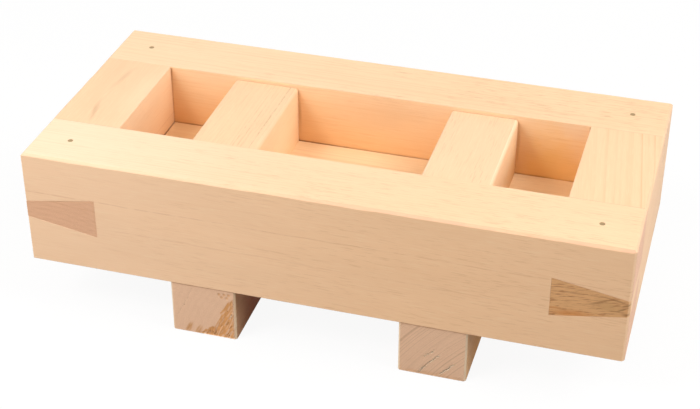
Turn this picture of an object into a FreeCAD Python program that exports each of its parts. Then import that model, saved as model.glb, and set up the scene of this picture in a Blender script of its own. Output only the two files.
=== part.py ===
import FreeCAD, Part
import os
import re
import Sketcher

# Sushi rice mold press: a bottomless wooden frame with through-dovetailed corners, a base board on two
# feet that closes the frame from below, and a press board with two grip battens that goes in from above.
#
# X runs along the long sides, Y across them, Z up. The origin is under the middle of the object, on the
# surface that the feet stand on. Lengths are millimetres.

PARTS_FOLDER = "parts"
UP = FreeCAD.Vector(0, 0, 1)
ALONG = FreeCAD.Vector(1, 0, 0)
HALF_TURN = 180
FULL_TURN = 360
ON_PLANE = 1e-4                      # how near an edge lies to a plane that it is said to be on
CUBIC_MM_IN_CM = 1000

# How a sketch numbers its own axes, whose crossing is the first point of the level one, and the points
# of a line or a circle.
LEVEL_AXIS, UPRIGHT_AXIS = -1, -2
START, END, CENTRE = 1, 2, 3

# The same pieces on both sides and in both rows, and the sign of their place.
SIDES = [("left", "-"), ("right", "")]
ROWS = [("front", "-"), ("back", "")]
PEG_INSET = "(frame_length / 2 - end_board_thickness / 2)"
BAR_PEGS = [("0", "-(board_peg_spacing / 2)"), ("0", "board_peg_spacing / 2")]

# Every size that can be set by itself. The word on the left is the cell's alias.
SIZES = [
    ("frame_length", 250.0, "outside length of the frame, along X"),
    ("frame_width", 117.6, "outside width of the frame, along Y"),
    ("frame_height", 51.7, "height of the frame's four boards"),
    ("side_board_thickness", 30.2, "long boards, one sun thick"),
    ("end_board_thickness", 30.7, "short boards, and so the length of each dovetail"),
    ("frame_arris", 1.0, "chamfer planed round the frame's top once it is together"),
    ("pin_neck_height", 7.2, "dovetail pin at the end face, where it is narrowest"),
    ("pin_root_height", 17.6, "dovetail pin at the opening, where it is widest"),
    ("pin_centre_height", 25.0, "middle of the pin above the frame's underside"),
    ("dovetail_clearance", 0.05, "each flank of the pin to its socket"),
    ("peg_diameter", 2.3, "round bamboo peg"),
    ("peg_clearance", 0.02, "peg to its bore, on the radius"),
    ("peg_point_taper", 0.5, "how much the peg's point narrows, on the radius"),
    ("peg_point_length", 2.5, "length of the peg's point"),
    ("peg_end_room", 0.5, "bore left empty below the peg's point"),
    ("corner_peg_floor", 9.7, "wood of the lower tail left under a corner peg"),
    ("board_clearance", 0.35, "base board and press board to the frame's opening, all round"),
    ("base_board_thickness", 11.5, "board under the rice"),
    ("press_board_thickness", 12.0, "board above the rice"),
    ("foot_width", 28.5, "cross feet, along X"),
    ("foot_height", 24.5, "cross feet, from the surface to the frame's underside"),
    ("foot_spacing", 98.0, "between the middles of the two feet"),
    ("foot_recess", 0.5, "foot ends inside the frame's long faces"),
    ("foot_arris", 0.8, "chamfer on the feet's four upright corners"),
    ("batten_width", 29.0, "grip battens, along X"),
    ("batten_height", 26.5, "grip battens above the press board"),
    ("batten_spacing", 98.0, "between the middles of the two battens"),
    ("batten_round", 1.5, "rounding of the battens' long upper edges, where fingers pull"),
    ("board_peg_spacing", 30.0, "between the two pegs of each foot or batten, along Y"),
    ("board_peg_floor", 8.5, "wood of a foot or batten left beyond its pegs"),
]

# Heights and lengths that follow from the sizes above.
DERIVED = [
    ("opening_length", "frame_length - 2 * end_board_thickness", "inside length of the frame"),
    ("opening_width", "frame_width - 2 * side_board_thickness", "inside width of the frame"),
    ("board_length", "opening_length - 2 * board_clearance", "base board and press board, along X"),
    ("board_width", "opening_width - 2 * board_clearance", "base board and press board, along Y"),
    ("foot_length", "frame_width - 2 * foot_recess", "cross feet, along Y"),
    ("peg_across", "frame_width / 2 - side_board_thickness / 2", "corner pegs from the middle, along Y"),
    ("bore_diameter", "peg_diameter + 2 * peg_clearance", "every peg's bore"),
    ("corner_peg_length", "frame_height - corner_peg_floor", "through the upper tail and the pin"),
    ("foot_peg_bite", "foot_height - board_peg_floor", "how far a peg goes into its foot"),
    ("batten_peg_bite", "batten_height - board_peg_floor", "how far a peg goes into its batten"),
    ("press_underside", "foot_height + base_board_thickness", "where the press board rests"),
    ("batten_underside", "press_underside + press_board_thickness", "top of the press board"),
    ("frame_top", "foot_height + frame_height", "top face of the frame"),
]

doc = FreeCAD.newDocument("SushiPress")
sheet = doc.addObject("Spreadsheet::Sheet", "Sizes")


def fill_sheet():
    """Write the driving sizes and what follows from them, one row each: alias, value, meaning."""
    row = 0
    for alias, value, meaning in SIZES:
        row += 1
        sheet.set(f"A{row}", alias)
        sheet.set(f"B{row}", str(value))
        sheet.set(f"C{row}", meaning)
        sheet.setAlias(f"B{row}", alias)
    for alias, formula, meaning in DERIVED:
        row += 1
        sheet.set(f"A{row}", alias)
        sheet.set(f"B{row}", "=" + formula)
        sheet.set(f"C{row}", meaning)
        sheet.setAlias(f"B{row}", alias)
    doc.recompute()


def size(expression):
    """The number that an expression of the sheet's sizes comes to."""
    return float(sheet.evalExpression(expression))


def bound(expression):
    """The same expression as another object has to write it, with the sheet's name before each alias."""
    aliases = "|".join(entry[0] for entry in SIZES + DERIVED)
    return re.sub(rf"\b({aliases})\b", r"Sizes.\1", expression)


def new_body(label):
    """An empty body whose label names the sub-part."""
    body = doc.addObject("PartDesign::Body", label)
    body.Label = label
    return body


def origin_feature(body, role):
    """A plane or axis of the body's own origin."""
    return next(feature for feature in body.Origin.OriginFeatures if feature.Role == role)


def new_sketch(body, name, plane, lift="0"):
    """A sketch on one of the body's origin planes, moved along the plane's normal by lift."""
    sketch = body.newObject("Sketcher::SketchObject", name)
    sketch.AttachmentSupport = [(origin_feature(body, plane), "")]
    sketch.MapMode = "FlatFace"
    if lift != "0":
        sketch.setExpression("AttachmentOffset.Base.z", bound(lift))
    return sketch


def place_point(sketch, geometry, point, across, up):
    """Tie one point of the sketch to its two coordinates, each an expression of the sizes."""
    for kind, expression, axis in (("DistanceX", across, UPRIGHT_AXIS), ("DistanceY", up, LEVEL_AXIS)):
        if expression == "0":
            sketch.addConstraint(Sketcher.Constraint("PointOnObject", geometry, point, axis))
            continue
        rule = Sketcher.Constraint(kind, LEVEL_AXIS, START, geometry, point, size(expression))
        index = sketch.addConstraint(rule)
        sketch.setExpression(f"Constraints[{index}]", bound(expression))


def draw_outline(sketch, corners):
    """A closed outline of straight edges through corners, each a pair of expressions."""
    spots = [FreeCAD.Vector(size(across), size(up), 0) for across, up in corners]
    count = len(spots)
    for i in range(count):
        sketch.addGeometry(Part.LineSegment(spots[i], spots[(i + 1) % count]))
    for i, (across, up) in enumerate(corners):
        sketch.addConstraint(Sketcher.Constraint("Coincident", (i - 1) % count, END, i, START))
        place_point(sketch, i, START, across, up)


def draw_circles(sketch, centres, diameter):
    """One circle of the given diameter at each centre, a pair of expressions."""
    for i, (across, up) in enumerate(centres):
        centre = FreeCAD.Vector(size(across), size(up), 0)
        sketch.addGeometry(Part.Circle(centre, UP, size(diameter) / 2))
        place_point(sketch, i, CENTRE, across, up)
        index = sketch.addConstraint(Sketcher.Constraint("Diameter", i, size(diameter)))
        sketch.setExpression(f"Constraints[{index}]", bound(diameter))


def rectangle(half_across, low, high):
    """Corners of a rectangle centred on the sketch's upright axis."""
    return [(f"-({half_across})", low), (half_across, low), (half_across, high), (f"-({half_across})", high)]


def pad(body, sketch, length, towards_normal=True, both_ways=False):
    """Thicken a sketch by length."""
    feature = body.newObject("PartDesign::Pad", sketch.Name + "_pad")
    feature.Profile = sketch
    if both_ways:
        feature.SideType = "Symmetric"
    feature.Reversed = not towards_normal
    feature.setExpression("Length", bound(length))
    body.Tip = feature
    doc.recompute()
    return feature


def cut_through(body, sketch, towards_normal=False):
    """Cut a sketch right through, and make sure that the cut went into the wood."""
    before = body.Shape.Volume
    feature = body.newObject("PartDesign::Pocket", sketch.Name + "_cut")
    feature.Profile = sketch
    feature.Type = "ThroughAll"
    feature.Reversed = towards_normal
    body.Tip = feature
    doc.recompute()
    if body.Shape.Volume >= before:
        raise RuntimeError(f"{body.Label}: {feature.Name} cut nothing")
    return feature


def drill(body, name, centres, lift, depth, from_below=False):
    """Blind bores for pegs, with the pointed end that a drill leaves."""
    before = body.Shape.Volume
    sketch = new_sketch(body, name, "XY_Plane", lift)
    draw_circles(sketch, centres, "bore_diameter")
    doc.recompute()
    feature = body.newObject("PartDesign::Hole", name + "_bore")
    feature.Profile = sketch
    feature.DepthType = "Dimension"
    feature.DrillPoint = "Angled"
    feature.Reversed = from_below
    feature.setExpression("Diameter", bound("bore_diameter"))
    feature.setExpression("Depth", bound(depth))
    body.Tip = feature
    doc.recompute()
    if body.Shape.Volume >= before:
        raise RuntimeError(f"{body.Label}: {feature.Name} cut nothing")
    return feature


def edges_between(feature, planes, others):
    """Names of the feature's straight edges where one of the planes meets one of the others.

    A plane is an axis letter and the coordinate where it stands, such as ("x", 0.0).
    """
    names = []
    for number, edge in enumerate(feature.Shape.Edges, start=1):
        ends = [vertex.Point for vertex in edge.Vertexes]
        holds = [any(all(abs(getattr(end, axis) - at) < ON_PLANE for end in ends) for axis, at in some)
                 for some in (planes, others)]
        if all(holds):
            names.append(f"Edge{number}")
    return names


def ease(body, kind, name, planes, others, amount):
    """Chamfer or round every edge where one of the planes meets one of the others."""
    base = body.Tip
    feature = body.newObject(f"PartDesign::{kind}", name)
    feature.Base = (base, edges_between(base, planes, others))
    feature.setExpression("Radius" if kind == "Fillet" else "Size", bound(amount))
    body.Tip = feature
    doc.recompute()
    return feature


def mirror(body, feature, plane):
    """Repeat a cut on the other side of one of the body's origin planes."""
    copy = body.newObject("PartDesign::Mirrored", feature.Name + "_other")
    copy.Originals = [feature]
    copy.MirrorPlane = (origin_feature(body, plane), [""])
    body.Tip = copy
    doc.recompute()
    return copy


def place(body, across, along, up, turn=0, axis=UP):
    """Put a finished sub-part where it belongs: turned first, then moved to three expressions."""
    body.Placement = FreeCAD.Placement(FreeCAD.Vector(), FreeCAD.Rotation(axis, turn))
    for letter, expression in (("x", across), ("y", along), ("z", up)):
        if expression != "0":
            body.setExpression(f"Placement.Base.{letter}", bound(expression))
    doc.recompute()


def pin_outline(end, clearance):
    """Corners of the dovetail pin seen along Y: narrow at the end face, wide at the opening.

    end is the expression of the end face's place, and clearance widens the outline into its socket.
    """
    neck = f"(pin_neck_height / 2 + {clearance})"
    root = f"(pin_root_height / 2 + {clearance})"
    inner = f"({end} + end_board_thickness)"
    return [
        (end, f"pin_centre_height - {neck}"),
        (inner, f"pin_centre_height - {root}"),
        (inner, f"pin_centre_height + {root}"),
        (end, f"pin_centre_height + {neck}"),
    ]


def side_board(label, along, turn):
    """A long board of the frame, with an open dovetail socket and a peg bore at each end.

    It is drawn with its outside face on Y = 0 and its underside on Z = 0.
    """
    body = new_body(label)
    face = new_sketch(body, label + "_face", "XZ_Plane")
    draw_outline(face, rectangle("frame_length / 2", "0", "frame_height"))
    pad(body, face, "side_board_thickness", towards_normal=False)
    half_length = size("frame_length / 2")
    outside = [("y", 0), ("x", -half_length), ("x", half_length)]
    ease(body, "Chamfer", label + "_arris", [("z", size("frame_height"))], outside, "frame_arris")
    socket = new_sketch(body, label + "_socket", "XZ_Plane")
    draw_outline(socket, pin_outline("(-(frame_length / 2))", "dovetail_clearance"))
    cut = cut_through(body, socket)
    mirror(body, cut, "YZ_Plane")
    middle = "side_board_thickness / 2"
    centres = [(f"{side_x}{PEG_INSET}", middle) for side, side_x in SIDES]
    drill(body, label + "_pegs", centres, "frame_height", "corner_peg_length + peg_end_room")
    place(body, "0", along, "foot_height", turn)
    return body


def end_board(label, across, turn):
    """A short board of the frame, with a dovetail pin at each end that goes right through a side board.

    It is drawn with its outside face on X = 0, its underside on Z = 0 and its middle on Y = 0.
    """
    body = new_body(label)
    face = new_sketch(body, label + "_face", "XZ_Plane")
    outline = [
        ("0", "0"),
        ("end_board_thickness", "0"),
        ("end_board_thickness", "frame_height"),
        ("0", "frame_height"),
    ]
    draw_outline(face, outline)
    pad(body, face, "opening_width", both_ways=True)
    pin = new_sketch(body, label + "_pin", "XZ_Plane")
    draw_outline(pin, pin_outline("0", "0"))
    pad(body, pin, "frame_width", both_ways=True)
    ease(body, "Chamfer", label + "_arris", [("z", size("frame_height"))], [("x", 0)], "frame_arris")
    bore = new_sketch(body, label + "_pegs", "XY_Plane")
    middle = "end_board_thickness / 2"
    draw_circles(bore, [(middle, "-peg_across"), (middle, "peg_across")], "bore_diameter")
    cut_through(body, bore, towards_normal=True)
    place(body, across, "0", "foot_height", turn)
    return body


def board(label, thickness, spacing, up):
    """The base board or the press board: a plain panel with the four through bores of its pegs."""
    body = new_body(label)
    face = new_sketch(body, label + "_face", "XY_Plane")
    draw_outline(face, rectangle("board_length / 2", "-(board_width / 2)", "board_width / 2"))
    pad(body, face, thickness)
    bores = new_sketch(body, label + "_pegs", "XY_Plane")
    signs = [(side_x, side_y) for side_x in ("-", "") for side_y in ("-", "")]
    centres = [(f"{side_x}({spacing} / 2)", f"{side_y}(board_peg_spacing / 2)") for side_x, side_y in signs]
    draw_circles(bores, centres, "bore_diameter")
    cut_through(body, bores, towards_normal=True)
    place(body, "0", "0", up)
    return body


def bar(label, width, length, height):
    """The plain bar that a foot or a grip batten starts from, and the planes of its sides and its ends."""
    body = new_body(label)
    face = new_sketch(body, label + "_face", "XY_Plane")
    draw_outline(face, rectangle(f"{width} / 2", f"-({length} / 2)", f"{length} / 2"))
    pad(body, face, height)
    half_width, half_length = size(f"{width} / 2"), size(f"{length} / 2")
    return body, [("x", -half_width), ("x", half_width)], [("y", -half_length), ("y", half_length)]


def foot(label, across):
    """A cross foot: it carries the base board on its middle and the frame on its two ends."""
    body, sides, ends = bar(label, "foot_width", "foot_length", "foot_height")
    ease(body, "Chamfer", label + "_arris", sides, ends, "foot_arris")
    drill(body, label + "_pegs", BAR_PEGS, "foot_height", "foot_peg_bite + peg_end_room")
    place(body, across, "0", "0")
    return body


def grip_batten(label, across):
    """A grip batten across the press board, with its long upper edges rounded for the fingers."""
    body, sides, ends = bar(label, "batten_width", "board_width", "batten_height")
    ease(body, "Fillet", label + "_round", sides, [("z", size("batten_height"))], "batten_round")
    drill(body, label + "_pegs", BAR_PEGS, "0", "batten_peg_bite + peg_end_room", from_below=True)
    place(body, across, "0", "batten_underside")
    return body


def peg(label, length, across, along, up, turn=0):
    """A round bamboo peg, pointed at its lower end, drawn with its head on Z = 0 and hanging below it."""
    body = new_body(label)
    half = new_sketch(body, label + "_half", "XZ_Plane")
    outline = [
        ("0", "0"),
        ("peg_diameter / 2", "0"),
        ("peg_diameter / 2", f"-({length} - peg_point_length)"),
        ("peg_diameter / 2 - peg_point_taper", f"-({length})"),
        ("0", f"-({length})"),
    ]
    draw_outline(half, outline)
    feature = body.newObject("PartDesign::Revolution", label + "_turned")
    feature.Profile = half
    feature.ReferenceAxis = (origin_feature(body, "Z_Axis"), [""])
    feature.Angle = FULL_TURN
    body.Tip = feature
    place(body, across, along, up, turn, ALONG)
    return body


def build_frame():
    """Four boards and the four pegs that lock their corners."""
    half_length, half_width = "frame_length / 2", "frame_width / 2"
    made = [
        side_board("front_side_board", f"-({half_width})", 0),
        side_board("back_side_board", half_width, HALF_TURN),
        end_board("left_end_board", f"-({half_length})", 0),
        end_board("right_end_board", half_length, HALF_TURN),
    ]
    for row, side_y in ROWS:
        for side, side_x in SIDES:
            spot = (f"{side_x}{PEG_INSET}", f"{side_y}peg_across", "frame_top")
            made.append(peg(f"corner_peg_{row}_{side}", "corner_peg_length", *spot))
    return made


def build_base():
    """The base board and its two feet, held together by four pegs driven from above."""
    made = [board("base_board", "base_board_thickness", "foot_spacing", "foot_height")]
    for side, side_x in SIDES:
        across = f"{side_x}(foot_spacing / 2)"
        made.append(foot(f"{side}_foot", across))
        for row, side_y in ROWS:
            spot = (across, f"{side_y}(board_peg_spacing / 2)", "press_underside")
            made.append(peg(f"base_peg_{row}_{side}", "base_board_thickness + foot_peg_bite", *spot))
    return made


def build_press():
    """The press board and its two grip battens, held together by four pegs driven from below."""
    made = [board("press_board", "press_board_thickness", "batten_spacing", "press_underside")]
    length = "press_board_thickness + batten_peg_bite"
    for side, side_x in SIDES:
        across = f"{side_x}(batten_spacing / 2)"
        made.append(grip_batten(f"{side}_grip_batten", across))
        for row, side_y in ROWS:
            spot = (across, f"{side_y}(board_peg_spacing / 2)", "press_underside")
            made.append(peg(f"press_peg_{row}_{side}", length, *spot, HALF_TURN))
    return made


def check(bodies):
    """Stop if anything in the document failed or a sub-part is not one sound solid."""
    doc.recompute()
    for thing in doc.Objects:
        if {"Invalid", "Error"} & set(thing.State):
            raise RuntimeError(f"{thing.Name} did not rebuild: {thing.State}")
    for body in bodies:
        shape = body.Shape
        if shape.isNull() or not shape.isValid() or len(shape.Solids) != 1:
            raise RuntimeError(f"{body.Label} is not one valid solid")


def write(bodies):
    """One STEP file per sub-part, named by its label."""
    os.makedirs(PARTS_FOLDER, exist_ok=True)
    for body in bodies:
        body.Shape.exportStep(os.path.join(PARTS_FOLDER, body.Label + ".step"))
        box = body.Shape.BoundBox
        volume = body.Shape.Volume / CUBIC_MM_IN_CM
        print(f"{body.Label:24s} {volume:8.2f} cm3  X {box.XMin:8.2f} {box.XMax:8.2f}"
              f"  Y {box.YMin:7.2f} {box.YMax:7.2f}  Z {box.ZMin:6.2f} {box.ZMax:6.2f}")


fill_sheet()
sub_parts = build_frame() + build_base() + build_press()
check(sub_parts)
write(sub_parts)
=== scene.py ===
# %% [markdown]
# # A box mold for pressed sushi
#
# The object is a small box mold of pale, unfinished softwood in three loose parts: a base with two cross
# feet, a bottomless frame with dovetailed corners, and a press with two grip battens. This lesson dresses
# the finished construction model: the joints, sizes and places come from it, and Blender adds eased
# edges, torn end grain, split bamboo pegs, the grain of every board and the light.

# %% Load the construction model
import math
from types import SimpleNamespace

import bmesh
import bpy
from mathutils import Matrix, Vector, noise


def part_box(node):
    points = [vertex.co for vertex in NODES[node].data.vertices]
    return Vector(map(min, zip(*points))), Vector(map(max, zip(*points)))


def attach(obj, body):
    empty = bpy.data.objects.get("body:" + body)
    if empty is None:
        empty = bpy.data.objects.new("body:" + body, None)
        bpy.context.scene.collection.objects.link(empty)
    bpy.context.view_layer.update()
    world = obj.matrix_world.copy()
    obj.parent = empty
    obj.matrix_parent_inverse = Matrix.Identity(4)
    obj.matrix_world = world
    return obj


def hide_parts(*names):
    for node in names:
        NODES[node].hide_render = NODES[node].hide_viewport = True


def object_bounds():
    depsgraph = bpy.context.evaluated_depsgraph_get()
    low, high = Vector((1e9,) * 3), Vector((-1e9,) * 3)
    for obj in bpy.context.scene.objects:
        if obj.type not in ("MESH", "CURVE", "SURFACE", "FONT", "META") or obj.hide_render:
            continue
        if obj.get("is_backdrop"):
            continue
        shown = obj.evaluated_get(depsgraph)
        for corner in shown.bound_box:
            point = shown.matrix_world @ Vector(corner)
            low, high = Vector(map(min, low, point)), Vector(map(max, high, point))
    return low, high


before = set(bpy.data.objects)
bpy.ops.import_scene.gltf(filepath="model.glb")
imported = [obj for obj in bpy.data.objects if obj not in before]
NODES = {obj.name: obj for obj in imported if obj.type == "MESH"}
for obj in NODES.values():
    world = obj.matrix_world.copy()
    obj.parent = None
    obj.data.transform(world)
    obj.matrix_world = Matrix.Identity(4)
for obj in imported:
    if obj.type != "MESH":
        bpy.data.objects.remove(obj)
CAD_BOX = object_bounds()
print("construction model:", len(NODES), "pieces")

# %% [markdown]
# A woodworker thinks in millimetres and Blender in metres. One named factor keeps the two apart, so every
# size below can be read off a ruler. The few places that the dressing needs again, such as the end of the
# opening and the height of the top, are read from the boxes of the pieces themselves.

# %% Millimetres, and the places worth naming
MM = 0.001


def millimetres(node):
    """Lowest and highest corner of a piece, in millimetres."""
    low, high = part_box(node)
    return low / MM, high / MM


SIDE_LOW, SIDE_HIGH = millimetres("back_side_board")
PRESS_HIGH = millimetres("press_board")[1]
BASE_LOW = millimetres("base_board")[0]
OPENING_END = millimetres("right_end_board")[0].x
INNER_WALL = SIDE_LOW.y
FRAME_TOP = SIDE_HIGH.z
print(f"opening {2 * OPENING_END:.1f} x {2 * INNER_WALL:.1f} mm, top of the frame at {FRAME_TOP:.1f} mm")

# %% [markdown]
# The camera stands in front of the mold, a little to its right, and looks down on it at about a third of
# a right angle. It could be placed by typing its position and its angles. Here it is placed as one would
# say it aloud: what it looks at, how far away it is, from which side and from what height. Nothing then
# has to be turned by hand when one of these changes.

# %% The camera
LOOKS_AT = Vector((-1.3, -4.0, 40.0)) * MM
DISTANCE = 662.9 * MM
FROM_THE_RIGHT, FROM_ABOVE, LEANING = math.radians(16.16), math.radians(32.87), math.radians(0.14)
FOCAL_LENGTH, SENSOR_WIDTH = 79.54, 36.0


def stand(name, data):
    """Give a mesh, a lamp or a camera an object of its own in the scene."""
    made = bpy.data.objects.new(name, data)
    bpy.context.scene.collection.objects.link(made)
    return made


lens = bpy.data.cameras.new("camera")
lens.lens, lens.sensor_width = FOCAL_LENGTH, SENSOR_WIDTH
camera = stand("camera", lens)
bpy.context.scene.camera = camera

level = math.cos(FROM_ABOVE)
backwards = Vector((math.sin(FROM_THE_RIGHT) * level, -math.cos(FROM_THE_RIGHT) * level, math.sin(FROM_ABOVE)))
turned = backwards.to_track_quat("Z", "Y").to_matrix() @ Matrix.Rotation(LEANING, 3, "Z")
camera.matrix_world = Matrix.Translation(LOOKS_AT + backwards * DISTANCE) @ turned.to_4x4()
print("camera at", [round(value, 4) for value in camera.matrix_world.translation])

# %% [markdown]
# Materials are made of nodes, and ten boards need many of them. These short helpers place one node, set
# it up and feed it, so that the recipes further down read like sentences. `put` does the work. The
# others are what a wood recipe does all the time: arithmetic, arithmetic with arrows, a soft step from one
# number to another, and one colour laid over another where a mask says so.

# %% Short names for shader nodes
MIX_SHARE, MIX_UNDER, MIX_OVER, MIX_RESULT = 0, 6, 7, 2


def feed(tree, socket, value):
    """Link a socket to another one, or set it to a plain value."""
    if isinstance(value, bpy.types.NodeSocket):
        tree.links.new(value, socket)
    elif value is not None:
        socket.default_value = value


def put(tree, kind, *feeds, out=0, **settings):
    """Place a node, set it up, feed its inputs in order, and give back one of its outputs."""
    node = tree.nodes.new(kind)
    for name, value in settings.items():
        setattr(node, name, value)
    for socket, value in zip(node.inputs, feeds):
        feed(tree, socket, value)
    return node.outputs[out] if node.outputs else node


def number(tree, operation, *feeds):
    """Arithmetic on numbers."""
    return put(tree, "ShaderNodeMath", *feeds, operation=operation)


def times(tree, *factors):
    """The product of two or more numbers."""
    product = factors[0]
    for factor in factors[1:]:
        product = number(tree, "MULTIPLY", product, factor)
    return product


def arrow(tree, operation, *feeds):
    """Arithmetic on arrows; a length or a dot product comes back as a number."""
    gives_number = operation in ("DOT_PRODUCT", "LENGTH")
    return put(tree, "ShaderNodeVectorMath", *feeds, operation=operation, out=int(gives_number))


def stretch(tree, vector, factor):
    """An arrow made longer or shorter."""
    return put(tree, "ShaderNodeVectorMath", vector, None, None, factor, operation="SCALE")


def step(tree, value, low, high, start=0.0, end=1.0):
    """A soft step: start below low, end above high."""
    return put(tree, "ShaderNodeMapRange", value, low, high, start, end, interpolation_type="SMOOTHSTEP")


def tint(tree, under, over, *masks, way="MIX"):
    """Lay one colour over another, as far as all the masks together let it."""
    node = tree.nodes.new("ShaderNodeMix")
    node.data_type, node.blend_type = "RGBA", way
    for index, value in ((MIX_SHARE, times(tree, *masks)), (MIX_UNDER, under), (MIX_OVER, over)):
        feed(tree, node.inputs[index], value)
    return node.outputs[MIX_RESULT]


print("helpers for single nodes ready")

# %% [markdown]
# Wood has a direction, so most of its patterns are long one way and thin the other. A noise texture knows
# no direction, but the space in which it is read can be drawn out: an arrow is taken apart into what lies
# along the fibre and what lies across it, and the two are stretched by different amounts. The same two
# steps then serve for rings, fibres, dashes and the drag of a saw.

# %% Space that follows the fibre
def clouds(tree, position, seed, detail=2.0, roughness=0.5):
    """Smooth random values about 0.5 that change over a distance of about one."""
    node = tree.nodes.new("ShaderNodeTexNoise")
    node.noise_dimensions = "4D"
    settings = {"Vector": position, "W": seed, "Scale": 1.0, "Detail": detail, "Roughness": roughness}
    for name, value in settings.items():
        feed(tree, node.inputs[name], value)
    return node.outputs[0]


def taken_apart(tree, vector, way):
    """The parts of an arrow that lie along a way and across it."""
    lengthways = stretch(tree, way, arrow(tree, "DOT_PRODUCT", vector, way))
    return lengthways, arrow(tree, "SUBTRACT", vector, lengthways)


def drawn_out(tree, parts, thickness, length):
    """A space in which clouds come out this thick and this long, from an arrow taken apart."""
    lengthways, across = parts
    return arrow(tree, "ADD", stretch(tree, across, 1 / thickness), stretch(tree, lengthways, 1 / length))


def reach_along(tree, vector, way):
    """How far an arrow reaches along a way, forwards or backwards."""
    return number(tree, "ABSOLUTE", arrow(tree, "DOT_PRODUCT", vector, way))


print("helpers for grain ready")

# %% [markdown]
# An effect that several woods share is made once, as a node group with named sockets, and placed in each
# material with that board's own values. The shader itself stays in the material. A plain number that holds
# all over a board is set on the shader's own socket, and only what changes over the surface is linked.

# %% Groups and materials
def effect(name, inputs, outputs):
    """A node group with named sockets: the group, its inputs, and a way to feed its outputs."""
    kinds = {float: "NodeSocketFloat", tuple: "NodeSocketVector"}
    group = bpy.data.node_groups.new(name, "ShaderNodeTree")
    for label, value in inputs.items():
        socket = group.interface.new_socket(label, in_out="INPUT", socket_type=kinds[type(value)])
        socket.default_value = value
    for label, kind in outputs.items():
        group.interface.new_socket(label, in_out="OUTPUT", socket_type=kinds[kind])
    entry, leave = group.nodes.new("NodeGroupInput"), group.nodes.new("NodeGroupOutput")

    def give(label, value):
        group.links.new(value, leave.inputs[label])

    return group, entry.outputs, give


def use(tree, group, **values):
    """Place a group in a material: values by name, with _ for a space. Gives back its outputs."""
    node = tree.nodes.new("ShaderNodeGroup")
    node.node_tree = group
    for name, value in values.items():
        feed(tree, node.inputs[name.replace("_", " ")], value)
    return node.outputs


def empty_tree(owner):
    """The node tree of a material or a world, with nothing in it."""
    owner.use_nodes = True
    owner.node_tree.nodes.clear()
    return owner.node_tree


def new_material(name):
    """An empty material with its Principled BSDF joined to the output."""
    material = bpy.data.materials.new(name)
    tree = empty_tree(material)
    shader = tree.nodes.new("ShaderNodeBsdfPrincipled")
    put(tree, "ShaderNodeOutputMaterial", shader.outputs[0])
    return material, tree, shader


def relief(tree, shader, height, depth, strength=1.0):
    """Let the light feel a height that is too low to be cut into the mesh."""
    bump = tree.nodes.new("ShaderNodeBump")
    for name, value in {"Strength": strength, "Distance": depth, "Height": height}.items():
        feed(tree, bump.inputs[name], value)
    tree.links.new(bump.outputs[0], shader.inputs["Normal"])


print("helpers for groups and materials ready")

# %% [markdown]
# The floor and what surrounds the object are plain white, as in a light tent. White could come from
# strong lamps, but they would bleach pale wood too. Instead the floor tells the camera a white of its
# own and tells every other ray a plain pale grey, so the light that it throws back at the wood stays
# modest. A part of what the camera sees is still real diffuse paint, which keeps a faint shadow where
# the mold stands. Seen from below the floor is clear, so that the underside can be looked at. It lies a
# tenth of a millimetre under the soles: two faces in one plane would flicker where they meet.

# %% The floor
WHITE = (1.0, 1.0, 1.0, 1.0)
FLOOR_GREY = (0.27, 0.257, 0.245, 1.0)
SHADOW_SHARE = 0.08
FLOOR_REACH, FLOOR_HEIGHT = 6.0, -0.1 * MM


def white_to_the_eye(tree):
    """One for a camera, mirror or glass ray, and zero for light that bounces about."""
    rays = tree.nodes.new("ShaderNodeLightPath").outputs
    seen = number(tree, "MAXIMUM", rays["Is Camera Ray"], rays["Is Glossy Ray"])
    return number(tree, "MAXIMUM", seen, rays["Is Transmission Ray"])


floor_paint = bpy.data.materials.new("floor")
paint = empty_tree(floor_paint)
glow = put(paint, "ShaderNodeEmission", WHITE, 1.0)
white_paint = put(paint, "ShaderNodeBsdfDiffuse", WHITE)
grey_paint = put(paint, "ShaderNodeBsdfDiffuse", FLOOR_GREY)
to_the_eye = put(paint, "ShaderNodeMixShader", SHADOW_SHARE, glow, white_paint)
both = put(paint, "ShaderNodeMixShader", white_to_the_eye(paint), grey_paint, to_the_eye)
from_below = paint.nodes.new("ShaderNodeNewGeometry").outputs["Backfacing"]
clear = put(paint, "ShaderNodeBsdfTransparent")
put(paint, "ShaderNodeOutputMaterial", put(paint, "ShaderNodeMixShader", from_below, both, clear))

floor_mesh = bpy.data.meshes.new("floor")
corners = [(x * FLOOR_REACH, y * FLOOR_REACH, FLOOR_HEIGHT) for x, y in ((-1, -1), (1, -1), (1, 1), (-1, 1))]
floor_mesh.from_pydata(corners, [], [(0, 1, 2, 3)])
floor_mesh.materials.append(floor_paint)
stand("floor", floor_mesh)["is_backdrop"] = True
print("floor", 2 * FLOOR_REACH, "m across")

# %% [markdown]
# The light is that of a small studio: a weak dome all round and a few square panels. The key panel hangs
# high at the left front, close enough for its light to fade towards the right end of the mold, and small
# enough for the corners of the pockets to fall into a soft shade of their own. A wide panel at the right
# lifts the right-hand faces and a higher one reaches down into the pockets, two weak ones at the front
# lift the front, and one behind keeps the back readable. That one lies low, so it is hidden from
# reflections, or the tops would mirror it. Sunlight would give hard shadows, and a dome alone would make
# all sides equally bright and the corners hard to read. Together they light the top at about the level at
# which a colour looks as it is written.

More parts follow.
